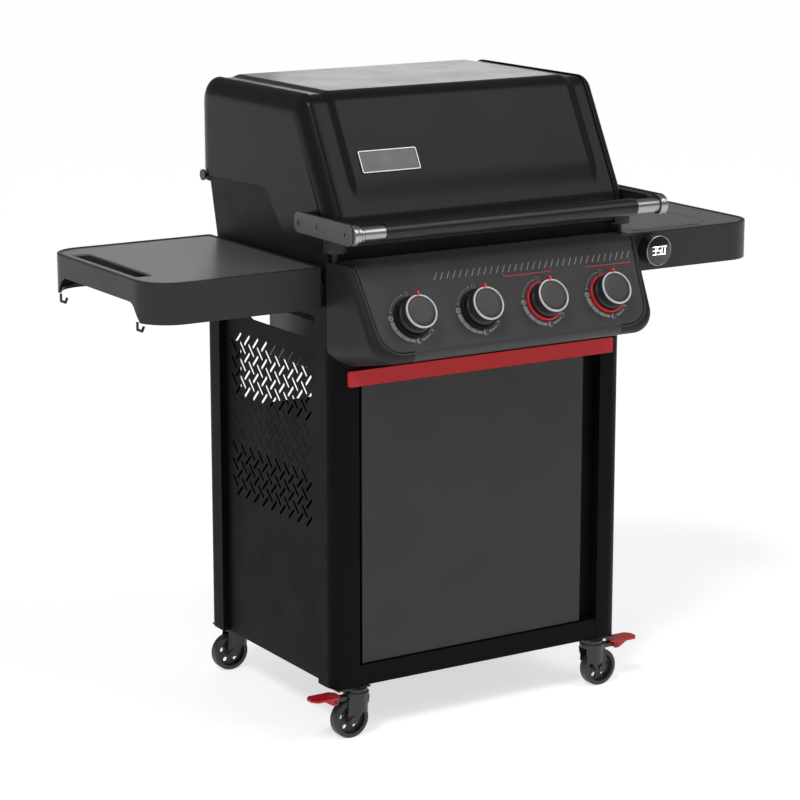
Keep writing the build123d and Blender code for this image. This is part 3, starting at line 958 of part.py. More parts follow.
def lever_arm():
    """Arm from the crown to the brake lever's pivot pin."""
    arm = block(ARM_START, LEVER_PIVOT_X, -PIVOT_BOSS_HALF, PIVOT_BOSS_HALF, LEVER_ARM_BOTTOM, LEVER_ARM_TOP)
    arm += rod((LEVER_PIVOT_X, -PIVOT_BOSS_HALF, LEVER_PIVOT_Z),
               (LEVER_PIVOT_X, PIVOT_BOSS_HALF, LEVER_PIVOT_Z), PIVOT_BOSS_RADIUS)
    return arm + rod((LEVER_PIVOT_X, -PIVOT_PIN_HALF, LEVER_PIVOT_Z),
                     (LEVER_PIVOT_X, PIVOT_PIN_HALF, LEVER_PIVOT_Z), LEVER_PIN_RADIUS)


def caster_wheel():
    """Wheel about its own axle at the trail distance: tyre, dished web with openings, bored hub."""
    half = WHEEL_WIDTH / 2

    def disc(radius, y0, y1):
        return rod((WHEEL_TRAIL, y0, WHEEL_RADIUS), (WHEEL_TRAIL, y1, WHEEL_RADIUS), radius)

    wheel = disc(WHEEL_RADIUS, -half, half)
    wheel = fillet(wheel.edges().filter_by(GeomType.CIRCLE), TYRE_EDGE)
    for side in (-1, 1):
        web, face = side * WEB_HALF_THICKNESS, side * half
        wheel -= disc(WHEEL_RADIUS - TYRE_DEPTH, web, face) - disc(HUB_RADIUS, web, face)
    for index in range(WEB_HOLES):
        angle = math.radians(90 + index * 360 / WEB_HOLES)
        u = WHEEL_TRAIL + WEB_HOLE_PITCH * math.cos(angle)
        v = WHEEL_RADIUS + WEB_HOLE_PITCH * math.sin(angle)
        wheel -= rod((u, -half, v), (u, half, v), WEB_HOLE_RADIUS)
    return wheel - disc(AXLE_RADIUS + AXLE_CLEARANCE, -half, half)


def brake_lever():
    """Foot lever about the caster's own axis: tread plate with two pivot cheeks."""
    front = [(x, -y, radius) for x, y, radius in TREAD_EDGE]
    lever = prism_z(outline(front + TREAD_EDGE[::-1]), TREAD_BOTTOM, TREAD_TOP)
    cheek_low = LEVER_PIVOT_Z - CHEEK_DROP
    cheek = outline([(CHEEK_START, cheek_low, CHEEK_RADIUS), (CHEEK_TOE, cheek_low, CHEEK_RADIUS),
                     (CHEEK_END, TREAD_BOTTOM, 0), (CHEEK_START, TREAD_BOTTOM, 0)])
    for y0, y1 in ((-CHEEK_OUTER, -CHEEK_INNER), (CHEEK_INNER, CHEEK_OUTER)):
        lever += prism_y(cheek, y0, y1)
    bore = rod((LEVER_PIVOT_X, -CASTER_REACH, LEVER_PIVOT_Z), (LEVER_PIVOT_X, CASTER_REACH, LEVER_PIVOT_Z),
               LEVER_PIN_RADIUS + STEM_CLEARANCE)
    return lever - bore


def place_caster(shape, corner):
    """Put a caster piece at one corner with the wheel trailing outwards."""
    side = -1 if corner in (0, 2) else 1
    y = SWIVEL_Y[0] if corner < 2 else SWIVEL_Y[1]
    turned = mirror(shape, about=Plane.YZ) if side < 0 else shape
    return Pos(side * SWIVEL_X, y, 0) * turned


def main():
    """Build and write every part."""
    os.makedirs("parts", exist_ok=True)
    cap = lid_end_cap()
    write("lid_sheet", lid_sheet())
    write("lid_end_cap_right", cap)
    write("lid_end_cap_left", mirror(cap, about=Plane.YZ))
    write("lid_handle_tube", handle_tube())
    write("lid_handle_ferrules", handle_ferrules())
    write("lid_handle_brackets", handle_brackets())
    write("lid_handle_side_plates", handle_side_plates())
    write("lid_handle_screws", handle_screws())
    write("lid_badge", lid_badge())
    write("lid_bumpers", lid_bumpers())
    write("lid_hinge_pins", lid_hinge_pins())
    write("cookbox", cookbox())
    grate = cooking_grate()
    write("cooking_grate_right", grate)
    write("cooking_grate_left", mirror(grate, about=Plane.YZ))
    write("heat_deflectors", heat_deflectors())
    write("burner_tubes", burner_tubes())
    write("igniter_electrodes", igniter_electrodes())
    write("warming_rack", warming_rack())
    write("grease_tray", grease_tray())
    write("drip_pan", drip_pan())
    write("gas_manifold", gas_manifold())
    for number, x in enumerate(STATIONS, start=1):
        write(f"valve_stem_{number}", valve_stem(x))
        write(f"knob_{number}", knob(x))
    write("knob_bezels_dark", bezels(STATIONS[:2]))
    write("knob_bezels_red", bezels(STATIONS[2:]))
    face, left, right = control_panel()
    write("control_panel_face", face)
    write("control_panel_end_left", left)
    write("control_panel_end_right", right)
    write("corner_posts", corner_posts())
    panel = side_panel()
    write("side_panel_right", panel)
    write("side_panel_left", mirror(panel, about=Plane.YZ))
    write("cabinet_floor", cabinet_floor())
    write("back_panel", back_panel())
    write("front_crossbar", front_crossbar())
    write("bottom_rails", bottom_rails())
    write("door", door())
    write("door_hinge_pins", door_hinge_pins())
    frame = shelf_frame()
    write("shelf_right_frame", frame)
    write("shelf_left_frame", mirror(frame, about=Plane.YZ))
    write("shelf_right_top", shelf_right_top())
    write("shelf_left_top", shelf_left_top())
    write("shelf_hooks", shelf_hooks())
    write("temperature_display", temperature_display())
    write("caster_mounts", caster_mounts())
    wheel = caster_wheel()
    lever = brake_lever()
    for corner in range(4):
        write(f"caster_fork_{corner + 1}", place_caster(caster_fork(corner < 2), corner))
        write(f"caster_wheel_{corner + 1}", place_caster(wheel, corner))
        if corner < 2:
            write(f"brake_lever_{corner + 1}", place_caster(lever, corner))


main()
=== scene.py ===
"""Looks of the gas barbecue grill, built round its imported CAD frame. The tables are in millimetres."""
import math

import bmesh
import bpy
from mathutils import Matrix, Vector


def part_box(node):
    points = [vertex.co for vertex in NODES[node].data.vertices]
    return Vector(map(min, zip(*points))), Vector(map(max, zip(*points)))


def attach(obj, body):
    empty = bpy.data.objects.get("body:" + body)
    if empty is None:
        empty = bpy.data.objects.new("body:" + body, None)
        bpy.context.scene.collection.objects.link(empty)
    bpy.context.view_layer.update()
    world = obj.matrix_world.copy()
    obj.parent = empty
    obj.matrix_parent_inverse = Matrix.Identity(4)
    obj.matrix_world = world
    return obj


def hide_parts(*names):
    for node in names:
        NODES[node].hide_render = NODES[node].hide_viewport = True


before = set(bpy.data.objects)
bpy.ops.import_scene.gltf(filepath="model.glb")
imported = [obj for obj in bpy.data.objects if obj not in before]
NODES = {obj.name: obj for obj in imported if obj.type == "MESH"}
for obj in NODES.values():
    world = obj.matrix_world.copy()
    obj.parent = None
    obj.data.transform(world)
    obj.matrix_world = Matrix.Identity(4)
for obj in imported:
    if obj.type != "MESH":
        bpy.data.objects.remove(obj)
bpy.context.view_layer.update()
MM = 0.001
SIDES = (("left", -1.0), ("right", 1.0))
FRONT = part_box("corner_posts")[0].y


# ---- places ---------------------------------------------------------------------------------
def at(x, y, z):
    """A point from millimetres: x from the middle, y behind the cart's front, z up."""
    return Vector((x * MM, FRONT + y * MM, z * MM))


def middle(node):
    low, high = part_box(node)
    return (low + high) / 2


def extent(node):
    """A node's box in the millimetres of at(): left, right, front, rear, bottom, top."""
    low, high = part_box(node)
    return (low.x / MM, high.x / MM, (low.y - FRONT) / MM, (high.y - FRONT) / MM, low.z / MM, high.z / MM)


# The end caps give the lid's outline: an upright front, a lean back from BREAK to RIDGE, and a flat top.
CAP_INNER, CAP_SIDE, LID_FRONT, LID_REAR, LID_LOW, LID_TOP = extent("lid_end_cap_right")
LID_BREAK, LID_REAR_LOW, LID_SLOPE = 998.0, 1022.0, 0.54
LID_RIDGE = LID_FRONT + (LID_TOP - LID_BREAK) * LID_SLOPE
BREAK_RADIUS, RIDGE_RADIUS, REAR_RADIUS = 30.0, 38.0, 50.0

# The control face leans back by TILT; its origin is midway between the knobs, on its surface.
TILT = math.radians(28.0)
FACE_OUT = Vector((0, -math.cos(TILT), math.sin(TILT)))
FACE_UP = Vector((0, math.sin(TILT), math.cos(TILT)))
STEM_BEHIND_FACE = 12.0
FACE_ORIGIN = middle("valve_stem_1") + FACE_OUT * STEM_BEHIND_FACE * MM
FACE_ORIGIN.x = 0.0
KNOB_X = [middle(f"knob_{number}").x / MM for number in range(1, 5)]
PRINT_BACK, PRINT_FRONT = -0.1, 0.16


def on_face(u, v, out=0.0):
    """A point on the sloping control face: u to the right, v up the slope, out in front of it."""
    return FACE_ORIGIN + Vector((u * MM, 0, 0)) + FACE_UP * v * MM + FACE_OUT * out * MM


def up_face(level):
    """How far up the control face a height above the floor lies."""
    return (level - FACE_ORIGIN.z / MM) / math.cos(TILT)


# ---- materials --------------------------------------------------------------------------------
def link_bump(tree, shader, height, strength, depth):
    bump = tree.nodes.new("ShaderNodeBump")
    bump.inputs["Strength"].default_value = strength
    bump.inputs["Distance"].default_value = depth
    tree.links.new(height, bump.inputs["Height"])
    tree.links.new(bump.outputs["Normal"], shader.inputs["Normal"])


def noise(tree, coordinates, scale, detail=3.0, rough=0.55):
    node = tree.nodes.new("ShaderNodeTexNoise")
    node.inputs["Scale"].default_value = scale
    node.inputs["Detail"].default_value = detail
    node.inputs["Roughness"].default_value = rough
    tree.links.new(coordinates, node.inputs["Vector"])
    return node.outputs["Fac"]


def ranged(tree, value, low, high):
    """The middle half of a noise value, spread from low to high."""
    node = tree.nodes.new("ShaderNodeMapRange")
    node.inputs["From Min"].default_value = 0.25
    node.inputs["From Max"].default_value = 0.75
    node.inputs["To Min"].default_value = low
    node.inputs["To Max"].default_value = high
    tree.links.new(value, node.inputs["Value"])
    return node.outputs["Result"]


def toned(tree, value, dark, light):
    """A noise value as a colour between dark and light."""
    node = tree.nodes.new("ShaderNodeValToRGB")
    node.color_ramp.elements[0].position = 0.3
    node.color_ramp.elements[1].position = 0.7
    node.color_ramp.elements[0].color = (*dark, 1.0)
    node.color_ramp.elements[1].color = (*light, 1.0)
    tree.links.new(value, node.inputs["Fac"])
    return node.outputs["Color"]


def finish(name, colour, rough, span=0.06, metal=0.0, grain=1500.0, bump=0.15, depth=0.00015, tint=0.12,
           mottle=14.0, stretch=(1.0, 1.0, 1.0), coat=0.0, coat_rough=0.08, ior=1.5, glow=0.0, level=0.5):
    """A procedural finish: broad gloss variation, and a fine grain in the tone and the surface."""
    made = bpy.data.materials.new(name)
    made.use_nodes = True
    tree = made.node_tree
    shader = tree.nodes["Principled BSDF"]
    coordinates = tree.nodes.new("ShaderNodeTexCoord").outputs["Object"]
    mapping = tree.nodes.new("ShaderNodeMapping")
    mapping.inputs["Scale"].default_value = stretch
    tree.links.new(coordinates, mapping.inputs["Vector"])
    broad = noise(tree, coordinates, mottle)
    fine = noise(tree, mapping.outputs["Vector"], grain, 2.0)
    dark = tuple(c * (1 - tint) for c in colour)
    light = tuple(min(1.0, c * (1 + tint)) for c in colour)
    tree.links.new(toned(tree, fine, dark, light), shader.inputs["Base Color"])
    tree.links.new(ranged(tree, broad, max(0.03, rough - span), rough + span), shader.inputs["Roughness"])
    shader.inputs["Metallic"].default_value = metal
    shader.inputs["IOR"].default_value = ior
    shader.inputs["Specular IOR Level"].default_value = level
    shader.inputs["Coat Weight"].default_value = coat
    shader.inputs["Coat Roughness"].default_value = coat_rough
    if glow:
        shader.inputs["Emission Color"].default_value = (*colour, 1.0)
        shader.inputs["Emission Strength"].default_value = glow
    link_bump(tree, shader, fine, bump, depth)
    return made


FINISH = {
    "lid_enamel": finish("lid_enamel", (0.013, 0.013, 0.0135), 0.24, span=0.03, bump=0.04, mottle=9.0,
                         level=0.12),
    # Painted shade and light: one black cabinet paint split into a darker, duller copy for posts, sides,
    # back, rails and floor and a lighter, glossier copy for the door.
    "black_paint": finish("black_paint", (0.0042, 0.0042, 0.0045), 0.46, bump=0.18, level=0.06),
    "lit_door_paint": finish("lit_door_paint", (0.014, 0.014, 0.0145), 0.42, bump=0.15, level=0.42),
    "handle_paint": finish("handle_paint", (0.012, 0.012, 0.0125), 0.30, bump=0.08, level=0.35),
    "grey_paint": finish("grey_paint", (0.10, 0.10, 0.103), 0.38, bump=0.12),
    "panel_paint": finish("panel_paint", (0.042, 0.042, 0.043), 0.50, grain=1100.0, bump=0.30, depth=0.0002,
                          tint=0.22, level=0.35),
    "shelf_paint": finish("shelf_paint", (0.15, 0.15, 0.151), 0.34, span=0.015, bump=0.10, tint=0.06,
                          mottle=6.0, level=0.8),
    "cheek_paint": finish("cheek_paint", (0.016, 0.016, 0.0165), 0.46, grain=1100.0, bump=0.25, depth=0.0002,
                          tint=0.18, level=0.2),
    "frame_paint": finish("frame_paint", (0.026, 0.026, 0.0265), 0.38, bump=0.15, level=0.25),
    "red_paint": finish("red_paint", (0.53, 0.034, 0.038), 0.5, bump=0.2, level=0.12),
    "cast_black": finish("cast_black", (0.009, 0.009, 0.0095), 0.52, grain=700.0, bump=0.35, depth=0.0004,
                         level=0.2),
    "cast_iron": finish("cast_iron", (0.02, 0.02, 0.02), 0.45, grain=500.0, bump=0.4, depth=0.0005),
    "steel": finish("steel", (0.36, 0.36, 0.37), 0.30, metal=1.0, grain=900.0, stretch=(0.04, 1.0, 1.0),
                    bump=0.12, tint=0.10),
    "bright_steel": finish("bright_steel", (0.40, 0.40, 0.41), 0.28, metal=1.0, grain=600.0, bump=0.05,
                           tint=0.05),
    "badge_grey": finish("badge_grey", (0.10, 0.10, 0.102), 0.34, metal=0.6, grain=700.0,
                         stretch=(0.05, 1.0, 1.0), bump=0.1),
    "ring_satin": finish("ring_satin", (0.62, 0.62, 0.63), 0.45, metal=0.55, grain=700.0, bump=0.05,
                         tint=0.04),
    "bezel_black": finish("bezel_black", (0.008, 0.008, 0.0085), 0.5, grain=900.0, bump=0.2, level=0.15),
    "steel_black": finish("steel_black", (0.02, 0.02, 0.021), 0.35, bump=0.1),
    "chrome_wire": finish("chrome_wire", (0.6, 0.6, 0.61), 0.15, metal=1.0, bump=0.04, tint=0.05),
    "aluminium": finish("aluminium", (0.66, 0.66, 0.68), 0.33, metal=1.0, bump=0.1),
    "brass": finish("brass", (0.55, 0.40, 0.18), 0.32, metal=1.0, bump=0.1),
    "black_plastic": finish("black_plastic", (0.016, 0.016, 0.017), 0.45, grain=900.0, bump=0.25),
    "knob_plastic": finish("knob_plastic", (0.018, 0.018, 0.019), 0.36, grain=1200.0, bump=0.12),
    "cap_plastic": finish("cap_plastic", (0.036, 0.036, 0.037), 0.42, grain=1300.0, bump=0.2),
    "red_plastic": finish("red_plastic", (0.50, 0.012, 0.018), 0.38, grain=900.0, bump=0.15, tint=0.08),
    "pointer_red": finish("pointer_red", (0.62, 0.008, 0.012), 0.30, grain=900.0, bump=0.06, tint=0.06),
    "fork_plastic": finish("fork_plastic", (0.02, 0.02, 0.021), 0.34, grain=900.0, bump=0.12),
    "black_rubber": finish("black_rubber", (0.014, 0.014, 0.014), 0.62, grain=600.0, bump=0.3),
    "wheel_rubber": finish("wheel_rubber", (0.022, 0.022, 0.023), 0.48, grain=700.0, bump=0.25),
    "display": finish("display", (0.008, 0.008, 0.009), 0.12, span=0.02, bump=0.02, coat=0.5),
    "print_grey": finish("print_grey", (0.26, 0.26, 0.26), 0.5, bump=0.15),
    "print_red": finish("print_red", (0.55, 0.02, 0.03), 0.45, bump=0.15),
    # Near-black for painted shade: the cookbox notches, the screw sockets and the panel seam's gap are black
    # pieces, not hollows.
    "painted_shade_black": finish("painted_shade_black", (0.004, 0.004, 0.004), 0.6, bump=0.1),
    "digit_white": finish("digit_white", (0.95, 0.97, 1.0), 0.4, glow=1.6, tint=0.03),
}

NODE_FINISH = {
    "lid_end_cap_left": "lid_enamel", "lid_end_cap_right": "lid_enamel", "lid_sheet": "lid_enamel",
    "lid_handle_tube": "handle_paint", "lid_handle_ferrules": "steel", "lid_handle_brackets": "black_plastic",
    "lid_handle_side_plates": "grey_paint", "lid_handle_screws": "bright_steel", "lid_badge": "steel",
    "lid_bumpers": "black_rubber", "lid_hinge_pins": "steel_black", "cookbox": "cast_black",
    "cooking_grate_left": "cast_iron", "cooking_grate_right": "cast_iron", "heat_deflectors": "steel",
    "burner_tubes": "steel", "igniter_electrodes": "brass", "warming_rack": "chrome_wire",
    "grease_tray": "steel_black", "drip_pan": "aluminium", "gas_manifold": "aluminium",
    "knob_bezels_dark": "bezel_black", "knob_bezels_red": "red_plastic",
    "control_panel_face": "panel_paint", "control_panel_end_left": "cheek_paint",
    "control_panel_end_right": "cheek_paint", "corner_posts": "black_paint", "side_panel_left": "black_paint",
    "side_panel_right": "black_paint", "cabinet_floor": "black_paint", "back_panel": "black_paint",
    "front_crossbar": "red_paint", "bottom_rails": "black_paint", "door": "lit_door_paint",
    "door_hinge_pins": "black_plastic", "shelf_left_frame": "frame_paint", "shelf_right_frame": "frame_paint",
    "shelf_left_top": "shelf_paint", "shelf_right_top": "shelf_paint", "shelf_hooks": "steel_black",
    "temperature_display": "black_plastic", "caster_mounts": "steel_black",
    "brake_lever_1": "red_plastic", "brake_lever_2": "red_plastic",
}
for number in range(1, 5):
    NODE_FINISH[f"valve_stem_{number}"] = "steel"
    NODE_FINISH[f"knob_{number}"] = "knob_plastic"
    NODE_FINISH[f"caster_fork_{number}"] = "fork_plastic"
    NODE_FINISH[f"caster_wheel_{number}"] = "wheel_rubber"

# Edge widths of the CAD nodes that are shown with softened edges.
SOFT_EDGES = {
    "corner_posts": 0.7, "front_crossbar": 1.2, "door": 0.8, "bottom_rails": 0.6, "lid_handle_brackets": 1.5,
    "shelf_left_top": 0.5, "shelf_right_top": 0.5, "brake_lever_1": 0.8, "brake_lever_2": 0.8,
    "cooking_grate_left": 1.0, "cooking_grate_right": 1.0, "grease_tray": 0.5,
}


def paint_nodes():
    for node, key in NODE_FINISH.items():
        if len(NODES[node].material_slots) == 0:
            NODES[node].data.materials.append(FINISH[key])
        for place in NODES[node].material_slots:
            place.material = FINISH[key]


# ---- modifiers ----------------------------------------------------------------------------------
def round_edges(obj, width, segments=2, angle=32.0):
    bevel = obj.modifiers.new("bevel", "BEVEL")
    bevel.width = width * MM
    bevel.segments = segments
    bevel.limit_method = "ANGLE"
    bevel.angle_limit = math.radians(angle)
    return bevel


def weight_normals(obj, weight, keep_sharp=False):
    normals = obj.modifiers.new("normals", "WEIGHTED_NORMAL")
    normals.weight = weight
    normals.keep_sharp = keep_sharp


def thicken(obj, thickness):
    """Give a skin a thickness on its inner side."""
    thick = obj.modifiers.new("thickness", "SOLIDIFY")
    thick.thickness = thickness * MM
    thick.offset = -1.0


def soften(node, width):
    """Round a CAD node's sharp edges with modifiers."""
    obj = NODES[node]
    weld = obj.modifiers.new("weld", "WELD")
    weld.merge_threshold = 0.02 * MM
    round_edges(obj, width).miter_outer = "MITER_ARC"
    weight_normals(obj, 80)


def bevelled(obj, width, segments=2, angle=32.0):
    round_edges(obj, width, segments, angle)
    weight_normals(obj, 80)
    return obj


# ---- mesh helpers -------------------------------------------------------------------------------
def add(name, verts, faces, body, look, angle=35.0):
    """A mesh piece that rides on a body."""
    mesh = bpy.data.meshes.new(name)
    mesh.from_pydata([tuple(v) for v in verts], [], faces)
    mesh.materials.append(FINISH[look])
    mesh.validate()
    mesh.polygons.foreach_set("use_smooth", [True] * len(mesh.polygons))
    mesh.set_sharp_from_angle(angle=math.radians(angle))
    return placed(name, mesh, body)


def placed(name, mesh, body):
    obj = bpy.data.objects.new(name, mesh)
    bpy.context.scene.collection.objects.link(obj)
    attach(obj, body)
    return obj


def outward(obj):
    """Make a closed piece's normals point outwards."""
    work = bmesh.new()
    work.from_mesh(obj.data)
    bmesh.ops.recalc_face_normals(work, faces=work.faces)
    work.to_mesh(obj.data)
    work.free()
    obj.data.set_sharp_from_angle(angle=math.radians(35))
    return obj


def outward_open(obj):
    """Make an open skin face away from its own middle."""
    centre = sum((v.co for v in obj.data.vertices), Vector()) / len(obj.data.vertices)
    total = sum((p.normal.dot(p.center - centre) * p.area for p in obj.data.polygons))
    if total < 0:
        obj.data.flip_normals()
    return obj


def turned_mesh(profile, origin, axis, steps=72):
    """Vertices and faces of a closed solid of revolution; the profile is (radius, distance)."""
    axis = axis.normalized()
    side = axis.orthogonal().normalized()
    other = axis.cross(side)
    verts, faces, rings = [], [], []
    for radius, reach in profile:
        base = origin + axis * reach * MM
        if radius < 1e-6:
            rings.append([len(verts)])
            verts.append(base)
            continue
        rings.append(list(range(len(verts), len(verts) + steps)))
        for index in range(steps):
            turn = 2 * math.pi * index / steps
            verts.append(base + (side * math.cos(turn) + other * math.sin(turn)) * radius * MM)
    for ring, following in zip(rings, rings[1:]):
        for index in range(steps):
            after = (index + 1) % steps
            if len(ring) == 1 and len(following) > 1:
                faces.append((ring[0], following[index], following[after]))
            elif len(following) == 1 and len(ring) > 1:
                faces.append((ring[index], following[0], ring[after]))
            elif len(ring) > 1:
                faces.append((ring[index], following[index], following[after], ring[after]))
    return verts, faces


def turned(name, profile, origin, axis, body, look, steps=72):
    verts, faces = turned_mesh(profile, origin, axis, steps)
    return add(name, verts, faces, body, look)


def arc(centre_u, centre_v, radius, start, stop, steps):
    """Points on an arc, angles in degrees."""
    points = []
    for index in range(steps + 1):
        turn = math.radians(start + (stop - start) * index / steps)
        points.append((centre_u + radius * math.cos(turn), centre_v + radius * math.sin(turn)))
    return points


def rounded(corners, steps=6, closed=True):
    """Points along a path whose corners (u, v, radius) are rounded."""
    points = []
    count = len(corners)
    for index, (u, v, radius) in enumerate(corners):
        if radius <= 0 or (not closed and index in (0, count - 1)):
            points.append((u, v))
            continue
        here = Vector((u, v))
        before = (Vector(corners[index - 1][:2]) - here).normalized()
        after = (Vector(corners[(index + 1) % count][:2]) - here).normalized()
        half = math.acos(max(-1.0, min(1.0, before.dot(after)))) / 2
        reach = radius / math.tan(half)
        centre = here + (before + after).normalized() * radius / math.sin(half)
        start = here + before * reach - centre
        sweep = math.pi - 2 * half
        sign = 1.0 if before.cross(after) < 0 else -1.0
        for step in range(steps + 1):
            turn = sign * sweep * step / steps
            points.append((centre.x + start.x * math.cos(turn) - start.y * math.sin(turn),
                           centre.y + start.x * math.sin(turn) + start.y * math.cos(turn)))
    return points


def rounded_box(left, right, low, high, radius, steps=6):
    return rounded([(left, low, radius), (right, low, radius), (right, high, radius), (left, high, radius)],
                   steps)


def resampled(path, spacing):
    """An open path with its points no further apart than the spacing."""
    dense = [path[0]]
    for start, stop in zip(path, path[1:]):
        pieces = max(1, math.ceil(math.dist(start, stop) / spacing))
        for index in range(1, pieces + 1):
            dense.append((start[0] + (stop[0] - start[0]) * index / pieces,
                          start[1] + (stop[1] - start[1]) * index / pieces))
    return dense


def path_normals(path):
    """The unit normal on the left of an open path, at each of its points."""
    normals = []
    for before, after in zip([path[0], *path], [*path[1:], path[-1]]):
        run = Vector((after[0] - before[0], after[1] - before[1])).normalized()
        normals.append(Vector((-run.y, run.x)))
    return normals


def grid_faces(rows, width):
    """Faces of a grid of vertices that are listed row by row."""
    faces = []
    for row in range(rows - 1):
        for column in range(width - 1):
            corner = row * width + column
            faces.append((corner, corner + 1, corner + width + 1, corner + width))
    return faces


def slab_mesh(points, place, low, high):
    """Vertices and faces of a plate: place(u, v, w) puts a point of the outline at height w."""
    count = len(points)
    verts = [place(u, v, low) for u, v in points] + [place(u, v, high) for u, v in points]
    faces = [tuple(reversed(range(count))), tuple(range(count, 2 * count))]
    for index in range(count):
        after = (index + 1) % count
        faces.append((index, after, count + after, count + index))
    return verts, faces


def slab(name, outlines, place, low, high, body, look):
    """One piece of flat plates, one plate for each outline."""
    verts, faces = [], []
    for points in outlines:
        base = len(verts)
        plate_verts, plate_faces = slab_mesh(points, place, low, high)
        verts.extend(plate_verts)
        faces.extend(tuple(base + index for index in face) for face in plate_faces)
    return outward(add(name, verts, faces, body, look))


def band(inner, outer):
    """Closed outline between two open paths."""
    return inner + list(reversed(outer))


def tube_line(name, points, radius, body, look):
    """A round bead along points, as a mesh."""
    curve = bpy.data.curves.new(name, "CURVE")
    curve.dimensions = "3D"
    curve.bevel_depth = radius * MM
    curve.bevel_resolution = 3
    curve.use_fill_caps = True
    spline = curve.splines.new("POLY")
    spline.points.add(len(points) - 1)
    for point, place in zip(spline.points, points):
        point.co = (*place, 1.0)
    holder = bpy.data.objects.new(name + "_line", curve)
    mesh = bpy.data.meshes.new_from_object(holder)
    bpy.data.objects.remove(holder)
    mesh.materials.clear()
    mesh.materials.append(FINISH[look])
    mesh.polygons.foreach_set("use_smooth", [True] * len(mesh.polygons))
    mesh.name = name
    return placed(name, mesh, body)


# ---- lid ----------------------------------------------------------------------------------------
SHEET_INSET, SHEET_HEM, SHEET_HEM_RADIUS, SHEET_THICKNESS, SHEET_SPACING = 3.0, 12.0, 3.0, 1.8, 3.5
# The raised panel stands RAISE proud, and fades out over the FADE widths beyond its flat part.
RAISE, RAISED_HALF, RAISED_SIDE_FADE, RAISED_LOW, RAISED_LOW_FADE = 5.0, 259.0, 21.0, 1070.0, 58.0
LEAN_END = 200.0    # behind this the sheet no longer counts as the leaning front
BADGE_HALF_HEIGHT, BADGE_RIM, BADGE_RADIUS, BADGE_DEPTH, BADGE_FLOOR = 22.0, 2.5, 4.0, 3.0, 1.2
CAP_SHOULDER, CAP_BREADTH, CAP_THICKNESS, CAP_SPACING, CAP_MIDDLE = 40.0, 24.0, 1.6, 14.0, 300.0
CAP_SCOOP = ((168.0, 48.0), (246.0, 40.0))
SCOOP_TOP = 1028.0


def smooth_step(t):
    t = max(0.0, min(1.0, t))
    return t * t * (3 - 2 * t)


def sheet_columns():
    """Where the sheet is divided across, closest at the sides of the raised panel."""
    outer = [254.0 + 2.0 * step for step in range(16)] + [290.0, 300.0, extent("lid_sheet")[1]]
    return [-x for x in reversed(outer)] + [24.0 * step for step in range(-10, 11)] + outer


def lid_sheet():
    """The folded lid sheet with its soft-edged raised panel."""
    turn = math.atan2(1.0, LID_SLOPE)
    inset, low, rear_low = SHEET_INSET, LID_LOW + SHEET_INSET, LID_REAR_LOW + SHEET_INSET
    front, rear, top = LID_FRONT + inset, LID_REAR - inset, LID_TOP - inset
    corners = [(front + SHEET_HEM, low, 0), (front, low, SHEET_HEM_RADIUS),
               (front, LID_BREAK - inset * math.tan((math.pi / 2 - turn) / 2), BREAK_RADIUS - inset),
               (LID_RIDGE + inset * math.tan(turn / 2), top, RIDGE_RADIUS - inset),
               (rear, top, REAR_RADIUS - inset), (rear, rear_low, 0)]
    path = resampled(rounded(corners, steps=12, closed=False), SHEET_SPACING)
    columns = sheet_columns()
    verts = []
    for (y, z), out in zip(path, path_normals(path)):
        for x in columns:
            side = max(0.0, (abs(x) - RAISED_HALF) / RAISED_SIDE_FADE)
            below = max(0.0, (RAISED_LOW - z) / RAISED_LOW_FADE) if y < LEAN_END else 0.0
            lift = RAISE * (1.0 - smooth_step(math.hypot(side, below)))
            verts.append(at(x, y + out.x * lift, z + out.y * lift))
    faces = grid_faces(len(path), len(columns))
    sheet = outward_open(add("lid_centre_sheet", verts, faces, "lid", "lid_enamel", 60.0))
    thicken(sheet, SHEET_THICKNESS)
    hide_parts("lid_sheet")


def badge():
    """Blank badge: a bright frame round a dark plate."""
    lean = math.hypot(1.0, LID_SLOPE)
    normal = Vector((0, -1.0 / lean, LID_SLOPE / lean))
    up = Vector((0, LID_SLOPE / lean, 1.0 / lean))
    centre = middle("lid_badge") - normal * BADGE_DEPTH / 2 * MM
    left, right = extent("lid_badge")[:2]
    half_width = (right - left) / 2

    def place(u, v, w):
        return centre + Vector((u * MM, 0, 0)) + up * v * MM + normal * w * MM

    def outline(inset, radius):
        half_u, half_v = half_width - inset, BADGE_HALF_HEIGHT - inset
        return rounded_box(-half_u, half_u, -half_v, half_v, radius)
    outer, inner = outline(0.0, BADGE_RADIUS), outline(BADGE_RIM, BADGE_RADIUS / 2)
    count = len(outer)
    verts = [place(u, v, 0.0) for u, v in outer] + [place(u, v, BADGE_DEPTH) for u, v in outer]
    verts += [place(u, v, BADGE_DEPTH) for u, v in inner] + [place(u, v, BADGE_FLOOR) for u, v in inner]
    faces = []
    for ring in range(3):
        for index in range(count):
            after = (index + 1) % count
            faces.append((ring * count + index, ring * count + after, (ring + 1) * count + after,
                          (ring + 1) * count + index))
    rim = bevelled(outward_open(add("badge_frame", verts, faces, "lid", "bright_steel")), 0.4)
    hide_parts("lid_badge")
    plate = outline(BADGE_RIM - 0.2, BADGE_RADIUS / 2)
    slab("badge_plate", [plate], place, 0.0, BADGE_FLOOR + 0.4, "lid", "badge_grey")


def cap_profile():
    """Section of a cap's band and shoulder, as (x, depth below the crown)."""
    profile = [(CAP_INNER, 2.6), (CAP_INNER, 0.6), (CAP_INNER + 0.6, 0.0)]
    for step in range(11):
        turn = math.radians(90.0 - 9.0 * step)
        profile.append((CAP_SIDE - CAP_BREADTH * (1 - math.cos(turn)), CAP_SHOULDER * (1 - math.sin(turn))))
    return profile


